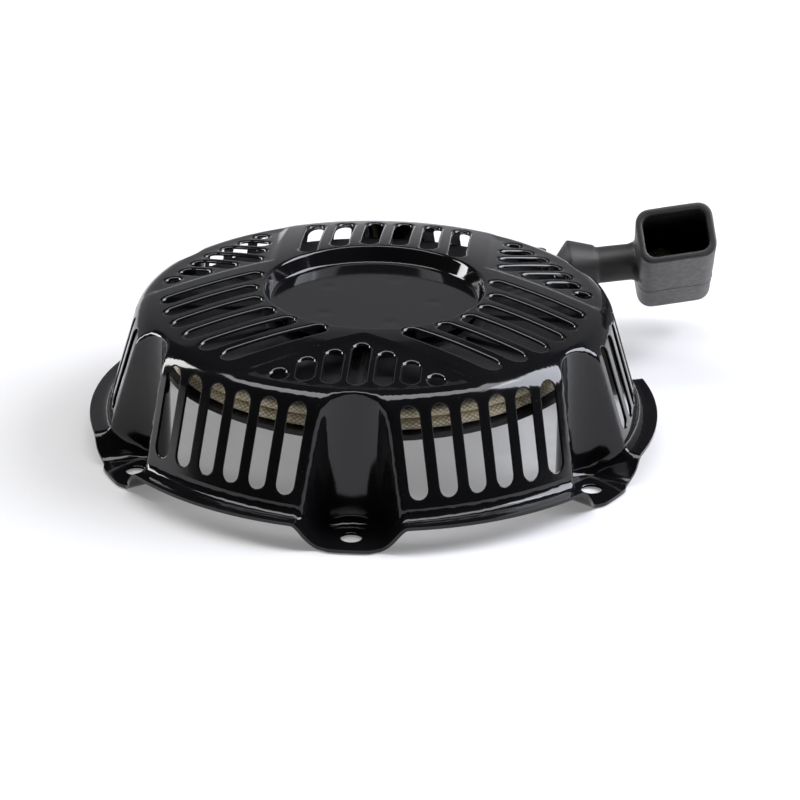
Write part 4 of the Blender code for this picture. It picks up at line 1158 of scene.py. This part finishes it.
def bar_matrix():
    """Turns the bar's own +Z to run across the pull, with its open end up towards -Y."""
    across = Vector((0, -math.cos(BAR_ROLL), math.sin(BAR_ROLL)))
    along = Vector((1, 0, 0))
    lean = Matrix.Rotation(BAR_LEAN, 3, across.cross(along))
    across = lean @ across
    along = Matrix.Rotation(BAR_TWIST, 3, across) @ (lean @ along)
    turn = Matrix((along, across.cross(along), across)).transposed().to_4x4()
    return GRIP @ Matrix.Translation((BAR_CENTRE, 0, 0)) @ turn


def bar_shell():
    """Hollow bar, from the middle of its closed end round the outside and down into the hollow."""
    half = BAR_LENGTH / 2
    rows = []
    for i in range(7):
        turn = math.pi / 2 * (6 - i) / 6
        rows.append((-half + BAR_END_ROUND * (1 - math.sin(turn)), BAR_END_ROUND * (1 - math.cos(turn))))
    edge = 0.9 * MM
    for i in range(4):
        turn = math.pi / 2 * i / 3
        rows.append((half - edge * (1 - math.sin(turn)), edge * (1 - math.cos(turn))))
    for i in range(4):
        turn = math.pi / 2 * i / 3
        rows.append((half - edge * (1 - math.cos(turn)), BAR_WALL - edge * (1 - math.sin(turn))))
    floor = -half + BAR_WALL * 1.3
    rows.append((floor + 2.0 * MM, BAR_WALL))
    rows.append((floor + 0.6 * MM, BAR_WALL + 0.6 * MM))
    rows.append((floor, BAR_WALL + 2.0 * MM))
    bm = bmesh.new()
    first = [bm.verts.new(point) for point in bar_ring(*rows[0])]
    bm.faces.new(first)
    edges = bm.edges[:]
    last = first
    for distance, inset in rows[1:]:
        made = bmesh.ops.extrude_edge_only(bm, edges=edges)["geom"]
        fresh = {g for g in made if isinstance(g, bmesh.types.BMVert)}
        edges = [g for g in made if isinstance(g, bmesh.types.BMEdge) and fresh.issuperset(g.verts)]
        last = [next(e.other_vert(v) for e in v.link_edges if e.other_vert(v) in fresh) for v in last]
        for vert, spot in zip(last, bar_ring(distance, inset)):
            vert.co = spot
    bmesh.ops.contextual_create(bm, geom=edges)
    bmesh.ops.recalc_face_normals(bm, faces=bm.faces[:])
    bmesh.ops.transform(bm, verts=bm.verts[:], matrix=bar_matrix())
    return bm


def bar_ring(distance, inset):
    radius = max(BAR_CORNER_R - 0.7 * inset, 1.2 * MM)
    outline = rounded_rectangle(BAR_DEPTH - 2 * inset, BAR_THICKNESS - 2 * inset, radius, 5)
    return [Vector((x, y, distance)) for x, y in outline]


def neck_outline():
    """Nose, stopper, flare and neck, as (radius, distance along the pull)."""
    shoulder = NOSE_LENGTH + 0.7 * MM
    flare_end = NOSE_LENGTH + FLARE_LENGTH
    bar = flare_end + NECK_LENGTH
    corners = [
        (0.0, 0.0),
        (GRIP_BORE_R + 1.0 * MM, 0.0),
        (STOPPER_R, NOSE_LENGTH),
        (STOPPER_R, shoulder),
        (NECK_R + 0.9 * MM, flare_end),
        (NECK_R, flare_end + 0.5 * MM),
        (NECK_R, bar - 1.8 * MM),
        (NECK_R + 0.7 * MM, bar - 0.3 * MM),
        (NECK_R + 2.0 * MM, bar + 0.8 * MM),
        (NECK_R + 2.0 * MM, bar + BAR_WALL),
        (0.0, bar + BAR_WALL),
    ]
    radii = (0, 0.5, 0.45, 0.3, 0.3, 0.3, 2.0, 1.0, 0.5, 0, 0)
    return rounded(corners, [radius * MM for radius in radii], 3)


def cut_or_join(piece, bm, operation):
    """Applies a Boolean with the closed shape in bm."""
    mesh = bpy.data.meshes.new("tool")
    bm.to_mesh(mesh)
    bm.free()
    tool = bpy.data.objects.new("tool", mesh)
    bpy.context.scene.collection.objects.link(tool)
    modifier = piece.modifiers.new("tool", "BOOLEAN")
    modifier.operation = operation
    modifier.solver = "EXACT"
    modifier.object = tool
    settle(piece)
    bpy.data.objects.remove(tool)


PARTING_BOW = 3.0 * MM
PARTING_WIDTH = 0.45 * MM
PARTING_HEIGHT = 0.22 * MM
PARTING_ROOM = 0.26 * MM  # the bar's skin lies this far inside the part's, so that the line doesn't pass it
SLUMP = 0.08 * MM
SLUMP_LENGTH = 9 * MM


def mark_grip(piece):
    """Parting line of the mould round the bar, and the slight slump of moulded rubber."""
    inverse = bar_matrix().inverted()
    mesh = piece.data
    normals = [v.normal.copy() for v in mesh.vertices]
    for vert, normal in zip(mesh.vertices, normals):
        local = inverse @ vert.co
        line = -0.13 * BAR_LENGTH + PARTING_BOW * math.cos(math.pi * local.x / BAR_DEPTH)
        past_depth = abs(local.x) > (BAR_DEPTH - BAR_WALL) / 2
        past_thickness = abs(local.y) > (BAR_THICKNESS - BAR_WALL) / 2
        on_bar = abs(local.x) < BAR_DEPTH / 2 + 0.4 * MM
        if on_bar:
            vert.co -= normal * PARTING_ROOM
        if on_bar and (past_depth or past_thickness):
            off = (local.z - line) / PARTING_WIDTH
            vert.co += normal * PARTING_HEIGHT * math.exp(-off * off)
        lump = noise.noise(vert.co / SLUMP_LENGTH)
        vert.co += normal * SLUMP * lump


class STARTER_OT_grip(bpy.types.Operator):
    """Mould the grip: nose, stopper, neck and hollow bar in one"""

    bl_idname = "starter.grip"
    bl_label = "Grip"

    def execute(self, context):
        settings = context.scene.starter_grip
        rubber = rubber_material(settings.rubber)
        grip = add_piece("grip_moulding", bar_shell(), rubber, "grip_body")
        neck = turn_to_x(lathe(neck_outline(), 64), GRIP)
        cut_or_join(grip, neck, "UNION")
        bore_end = NOSE_LENGTH + FLARE_LENGTH + NECK_LENGTH + BAR_WALL + 2 * MM
        bore = [(0.0, -2 * MM), (GRIP_BORE_R, -2 * MM), (GRIP_BORE_R, bore_end), (0.0, bore_end)]
        cut_or_join(grip, turn_to_x(lathe(bore, 32), GRIP), "DIFFERENCE")
        melt = grip.modifiers.new("melt", "REMESH")
        melt.mode = "VOXEL"
        melt.voxel_size = settings.voxel
        soften = grip.modifiers.new("soften", "SMOOTH")
        soften.factor = 0.5
        soften.iterations = 4
        settle(grip, 180.0)
        mark_grip(grip)
        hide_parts("grip")
        return {"FINISHED"}


# ---------------------------------------------------------------- rope


def braid_height(settings, turn, along):
    """Height of the braid, from 0 in a groove to 1 on a crown; turn goes 0 to 1 round the rope."""
    first = math.sin(math.pi * (settings.carriers * turn + along / settings.advance))
    second = math.sin(math.pi * (settings.carriers * turn - along / settings.advance))
    return abs(first * second)


def rope_mesh(stations, sides, radius, settings, closed):
    """Braided rope through (centre, along, across, distance) stations, with its braid chart."""
    bm = bmesh.new()
    rings = []
    for centre, along, across, distance in stations:
        up = along.cross(across).normalized()
        spots = []
        for i in range(sides):
            turn = i / sides
            spoke = across * math.cos(2 * math.pi * turn) + up * math.sin(2 * math.pi * turn)
            height = braid_height(settings, turn, distance)
            spots.append(bm.verts.new(centre + spoke * (radius - settings.depth * (1 - height))))
        rings.append(spots)
    chart = bm.loops.layers.uv.new("braid")
    pairs = list(zip(range(len(rings)), range(1, len(rings))))
    if closed:
        pairs.append((len(rings) - 1, 0))
    for low, high in pairs:
        start = stations[low][3]
        end = stations[high][3] if high else start + (stations[1][3] - stations[0][3])
        for i in range(sides):
            j = (i + 1) % sides
            face = bm.faces.new((rings[low][i], rings[low][j], rings[high][j], rings[high][i]))
            corners = ((i, start), (i + 1, start), (i + 1, end), (i, end))
            for loop, (side, distance) in zip(face.loops, corners):
                loop[chart].uv = (side / sides, distance)
    if not closed:
        bm.faces.new(rings[0])
        bm.faces.new(rings[-1])
    bmesh.ops.recalc_face_normals(bm, faces=bm.faces[:])
    return bm


def straight_stations(points, steps, first=0.0):
    """Stations along a smooth line through the points, with distances measured along it."""
    line = []
    for a, b in zip(points, points[1:]):
        line += [a.lerp(b, i / steps) for i in range(steps)]
    line.append(points[-1])
    stations = []
    distance = first
    for i, centre in enumerate(line):
        before, after = line[max(i - 1, 0)], line[min(i + 1, len(line) - 1)]
        along = (after - before).normalized()
        across = along.cross(UP).normalized()
        if i:
            distance += (centre - line[i - 1]).length
        stations.append((centre, along, across, distance))
    return stations


def add_windings(settings, braid):
    """The turns of rope that show in the reel's groove, outer layer, two strands side by side."""
    for number, side in enumerate((-1, 1)):
        z = GROOVE_MIDDLE_Z + side * ROPE_R
        length = 2 * math.pi * WIND_R
        count = round(length / (0.62 * MM))
        stations = []
        for i in range(count):
            turn = 2 * math.pi * i / count
            out = Vector((math.cos(turn), math.sin(turn), 0))
            along = Vector((-out.y, out.x, 0))
            wander = 0.12 * MM * math.sin(3 * turn + 2 * number)
            stations.append((out * (WIND_R + wander) + UP * z, along, out, length * i / count))
        bm = rope_mesh(stations, 18, ROPE_R, settings, closed=True)
        piece = add_piece(f"rope_winding_{'ab'[number]}", bm, braid, "reel_body", 180.0)
        yield piece


def lead_points():
    """Centre line of the rope: along the winding's tangent to the outlet."""
    along = Vector((math.cos(PULL_HEADING), math.sin(PULL_HEADING), 0))
    aside = Vector((-along.y, along.x, 0))
    bend = along * (OUTLET_REACH - 4 * MM) + aside * OUTLET_ASIDE
    turn = math.asin(WIND_R / bend.length) - math.atan2(OUTLET_ASIDE, OUTLET_REACH - 4 * MM)
    back = Matrix.Rotation(-turn, 3, "Z") @ -along
    start = math.sqrt((WIND_R + 2 * ROPE_R + 0.6 * MM) ** 2 - WIND_R**2)
    length = math.sqrt(bend.length_squared - WIND_R**2) - start
    points = []
    for i in range(13):
        share = i / 12
        height = GROOVE_MIDDLE_Z + (OUTLET_Z - GROOVE_MIDDLE_Z) * (3 - 2 * share) * share**2
        points.append(bend + back * length * (1 - share) + UP * height)
    return points


class STARTER_OT_rope(bpy.types.Operator):
    """Wind the rope on the reel and lead it out of the cover to the grip"""

    bl_idname = "starter.rope"
    bl_label = "Rope"

    def execute(self, context):
        settings = context.scene.starter_rope
        braid = braid_material(settings, "braided_polyester", settings.yarn)
        # The darker copy is painted shade on the stretch in full light; the lighter yarn is painted light for
        # the rope in the cover's shade.
        painted_shade_yarn = braid_material(settings, "painted_shade_polyester", settings.painted_shade_yarn)
        for number, piece in enumerate(add_windings(settings, braid)):
            if number == 0:
                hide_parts("rope_coil")
        points = lead_points()
        lead = rope_mesh(straight_stations(points, 4), 18, ROPE_R, settings, closed=False)
        lead = add_piece("rope_lead", lead, braid, "housing", 60.0)
        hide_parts("rope_run")
        self.add_pull(settings, painted_shade_yarn, points[-1])
        self.add_knots(settings, braid)
        return {"FINISHED"}

    def add_pull(self, settings, braid, start):
        """The stretch that pays out: its braid is drawn at full size when it is pulled right out."""
        end = GRIP @ Vector((-0.2 * MM, 0, 0))
        count = 260
        stations = []
        along = (end - start).normalized()
        across = along.cross(UP).normalized()
        for i in range(count + 1):
            share = i / count
            paid_out = smooth_step(share) * PULL_TRAVEL
            stations.append((start.lerp(end, share), along, across, share * (end - start).length + paid_out))
        bm = rope_mesh(stations, 14, ROPE_R, settings, closed=False)
        pull = add_piece("rope_pull", bm, braid, None, 60.0)
        tuple(start)
        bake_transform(pull)
        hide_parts("rope_run")

    def add_knots(self, settings, braid):
        for node, body in (("reel_knot", "reel_body"), ("grip_rope_end", "grip_body")):
            piece = dress_copy(node, f"{node}_tied", braid, body, 0.0)
            smooth_out = piece.modifiers.new("round", "SUBSURF")
            smooth_out.levels = 2
            smooth_out.render_levels = 2
            settle(piece, 180.0)
            chart_by_place(piece)


def chart_by_place(piece):
    """Lays the braid chart round a knot about its own middle."""
    mesh = piece.data
    chart = mesh.uv_layers.get("braid") or mesh.uv_layers.new(name="braid")
    middle = sum((v.co for v in mesh.vertices), Vector()) / len(mesh.vertices)
    for loop in mesh.loops:
        local = mesh.vertices[loop.vertex_index].co - middle
        turn = abs(math.atan2(local.y, local.z)) / math.pi
        chart.data[loop.index].uv = (turn, local.x)


# ---------------------------------------------------------------- works under the cover


def dress_copy(node, name, material, body, edge, sharp=35.0):
    """Copy of a CAD piece with its triangles joined, its edges broken and its finish put on."""
    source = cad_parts[node]
    bm = bmesh.new()
    bm.from_mesh(source.data)
    bmesh.ops.remove_doubles(bm, verts=bm.verts[:], dist=1e-6)
    bmesh.ops.dissolve_limit(
        bm, angle_limit=math.radians(1.0), verts=bm.verts[:], edges=bm.edges[:], use_dissolve_boundaries=False
    )
    piece = add_piece(name, bm, material, body, sharp)
    if edge > 0.0:
        broken = piece.modifiers.new("edge", "BEVEL")
        broken.width = edge
        broken.segments = 2
        broken.limit_method = "ANGLE"
        broken.angle_limit = math.radians(40.0)
        settle(piece, sharp)
    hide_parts(node)
    return piece


class STARTER_OT_reel(bpy.types.Operator):
    """Finish the reel and the main spring inside it"""

    bl_idname = "starter.reel"
    bl_label = "Reel and main spring"

    def execute(self, context):
        settings = context.scene.starter_works
        nylon = nylon_material(settings.nylon)
        dress_copy("reel", "reel_moulding", nylon, "reel_body", settings.edge)
        steel = spring_material(settings.spring)
        dress_copy("main_spring", "main_spring_strip", steel, "reel_body", 0.0, 40.0)
        return {"FINISHED"}


class STARTER_OT_ratchet(bpy.types.Operator):
    """Finish the pawls, the guide plate, the post, the screw and their washers and springs"""

    bl_idname = "starter.ratchet"
    bl_label = "Ratchet and post"

    def execute(self, context):
        settings = context.scene.starter_works
        zinc = zinc_material(settings.zinc)
        steel = bpy.data.materials["blued_spring_steel"]
        homes = (
            ("post_plate", "housing"),
            ("centre_post", "housing"),
            ("screw_washer", "housing"),
            ("centre_screw", "housing"),
            ("rope_guide", "housing"),
            ("thrust_washer", "reel_body"),
            ("ratchet_guide", "guide_body"),
            ("pawl_a", "pawl_a_body"),
            ("pawl_b", "pawl_b_body"),
            ("grip_washer", "grip_body"),
        )
        for node, body in homes:
            dress_copy(node, f"{node}_plated", zinc, body, settings.edge)
        wires = {"friction_spring": "housing", "pawl_spring_a": "reel_body", "pawl_spring_b": "reel_body"}
        for node, body in wires.items():
            wire = dress_copy(node, f"{node}_wire", steel, body, 0.0)
            round_off = wire.modifiers.new("round", "SUBSURF")
            round_off.levels = 2
            round_off.render_levels = 2
            settle(wire, 180.0)
        return {"FINISHED"}


# ---------------------------------------------------------------- stage


def stage_plane(name, width, depth, place, colour, glow):
    """A flat plane of the stage with a soft self-lit colour, clear when seen from behind."""
    bm = bmesh.new()
    bmesh.ops.create_grid(bm, x_segments=2, y_segments=2, size=0.5)
    bmesh.ops.scale(bm, vec=(width, depth, 1), verts=bm.verts[:])
    bmesh.ops.transform(bm, matrix=place, verts=bm.verts[:])
    mesh = bpy.data.meshes.new(name)
    bm.to_mesh(mesh)
    bm.free()
    plane = bpy.data.objects.new(name, mesh)
    bpy.context.scene.collection.objects.link(plane)
    material, tree, shader, _ = new_material(name, {"Base Color": linear(colour), "Roughness": 0.9})
    shader.inputs["Emission Color"].default_value = linear(colour)
    shader.inputs["Emission Strength"].default_value = glow
    behind = add_node(tree, "ShaderNodeNewGeometry").outputs["Backfacing"]
    clear = add_node(tree, "ShaderNodeBsdfTransparent").outputs["BSDF"]
    one_sided = add_node(tree, "ShaderNodeMixShader", None, {0: behind, 1: shader.outputs["BSDF"], 2: clear})
    tree.links.new(one_sided.outputs["Shader"], tree.nodes["Material Output"].inputs["Surface"])
    mesh.materials.append(material)
    plane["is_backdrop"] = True
    return plane


def add_light(name, size, power, spot, target, colour="#FFFFFF"):
    """A rectangular softbox that faces its target."""
    lamp = bpy.data.lights.new(name, "AREA")
    lamp.shape = "RECTANGLE"
    lamp.size, lamp.size_y = size
    lamp.energy = power
    lamp.color = linear(colour)[:3]
    holder = bpy.data.objects.new(name, lamp)
    bpy.context.scene.collection.objects.link(holder)
    holder.location = spot
    holder.rotation_euler = (Vector(target) - Vector(spot)).to_track_quat("-Z", "Y").to_euler()


class STARTER_OT_stage(bpy.types.Operator):
    """Set up the pale floor, the soft lights and the camera"""

    bl_idname = "starter.stage"
    bl_label = "Stage"

    def execute(self, context):
        for name in ("Cube", "Light", "Camera"):
            if name in bpy.data.objects:
                bpy.data.objects.remove(bpy.data.objects[name])
        settings = context.scene.starter_stage
        scene = context.scene
        scene.view_settings.view_transform = "Standard"
        world = bpy.data.worlds.new("studio")
        world.use_nodes = True
        back = world.node_tree.nodes["Background"]
        back.inputs["Color"].default_value = linear("#1C1B1A")
        back.inputs["Strength"].default_value = 1.0
        scene.world = world
        floor = stage_plane("floor", 14.0, 8.0, Matrix.Translation((0, -1.5, -0.0005)), settings.floor, 0.0)
        self.fade_floor(floor)
        wall = Matrix.Translation((0, 2.5, 0.9)) @ Matrix.Rotation(math.pi / 2, 4, "X")
        backdrop = stage_plane("backdrop", 6.0, 1.8, wall, settings.floor, 0.3)
        self.fade_backdrop(backdrop)
        add_light("overhead", (1.9, 0.42), 15.0, (0.0, -0.02, 1.15), (0.0, -0.02, 0), "#FCFCFF")
        add_light("right", (1.0, 1.0), 36.0, (1.15, 0.2, 0.85), (0, 0, 0.03), "#F2F4FF")
        add_light("left", (0.3, 1.0), 14.0, (-1.3, 0.3, 0.45), (0, 0, 0.03))
        self.add_camera(scene, settings)
        return {"FINISHED"}

    def fade_floor(self, floor):
        """Lets the floor glow away from the object, so that its far end stays white; near the object the glow
        is painted light on the shaded floor under the cover.
        """
        tree = floor.data.materials[0].node_tree
        place = add_node(tree, "ShaderNodeTexCoord").outputs["Object"]
        reach = add_node(tree, "ShaderNodeVectorMath", None, {0: place})
        reach.operation = "LENGTH"
        fade = add_node(
            tree,
            "ShaderNodeMapRange",
            {"From Min": 0.12, "From Max": 0.9, "To Min": 0.42, "To Max": 1.2},
            {"Value": reach.outputs["Value"]},
        )
        tree.links.new(fade.outputs["Result"], tree.nodes["Principled BSDF"].inputs["Emission Strength"])

    def fade_backdrop(self, backdrop):
        """Lets the backdrop's glow die away above the height that the camera sees."""
        tree = backdrop.data.materials[0].node_tree
        place = add_node(tree, "ShaderNodeTexCoord").outputs["Object"]
        height = add_node(tree, "ShaderNodeSeparateXYZ", None, {"Vector": place})
        fade = add_node(
            tree,
            "ShaderNodeMapRange",
            {"From Min": 0.5, "From Max": 1.7, "To Min": 0.12, "To Max": 0.0},
            {"Value": height.outputs["Z"]},
        )
        tree.links.new(fade.outputs["Result"], tree.nodes["Principled BSDF"].inputs["Emission Strength"])

    def add_camera(self, scene, settings):
        target = Vector((0, 0, SHEET))
        rise, turn = settings.rise, settings.turn
        away = Vector((math.cos(rise) * math.sin(turn), -math.cos(rise) * math.cos(turn), math.sin(rise)))
        camera = bpy.data.objects.new("camera", bpy.data.cameras.new("camera"))
        scene.collection.objects.link(camera)
        camera.location = target + away * settings.distance
        look = (-away).to_track_quat("-Z", "Y").to_matrix() @ Matrix.Rotation(0.0068, 3, "Z")
        camera.rotation_euler = look.to_euler()
        camera.data.lens = settings.lens
        camera.data.sensor_width = 36.0
        camera.data.shift_x = 0.0331
        camera.data.shift_y = 0.032
        camera.data.clip_start = 0.01
        scene.camera = camera


# ---------------------------------------------------------------- panel and run

STEPS = (
    STARTER_OT_stage,
    STARTER_OT_cover,
    STARTER_OT_grip,
    STARTER_OT_reel,
    STARTER_OT_ratchet,
    STARTER_OT_rope,
)
SETTINGS = {
    "starter_cover": StarterCoverSettings,
    "starter_grip": StarterGripSettings,
    "starter_rope": StarterRopeSettings,
    "starter_works": StarterWorksSettings,
    "starter_stage": StarterStageSettings,
}


class STARTER_PT_panel(bpy.types.Panel):
    """Settings and steps of the recoil starter"""

    bl_idname = "STARTER_PT_panel"
    bl_label = "Recoil starter"
    bl_space_type = "VIEW_3D"
    bl_region_type = "UI"
    bl_category = TOOL_TAB

    def draw(self, context):
        for group in SETTINGS:
            box = self.layout.box()
            settings = getattr(context.scene, group)
            for name in settings.__annotations__:
                box.prop(settings, name)
        for step in STEPS:
            self.layout.operator(step.bl_idname)


CLASSES = (*SETTINGS.values(), *STEPS, STARTER_PT_panel)


def register():
    for made in CLASSES:
        bpy.utils.register_class(made)
    for name, group in SETTINGS.items():
        setattr(bpy.types.Scene, name, PointerProperty(type=group))


def unregister():
    for name in SETTINGS:
        delattr(bpy.types.Scene, name)
    for made in reversed(CLASSES):
        bpy.utils.unregister_class(made)


def main():
    register()
    bpy.ops.starter.stage()
    bpy.ops.starter.cover()
    bpy.ops.starter.grip()
    bpy.ops.starter.reel()
    bpy.ops.starter.ratchet()
    bpy.ops.starter.rope()
    boxes = [[list(corner) for corner in box] for box in (CAD_BOX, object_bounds())]


if __name__ == "__main__":
    main()
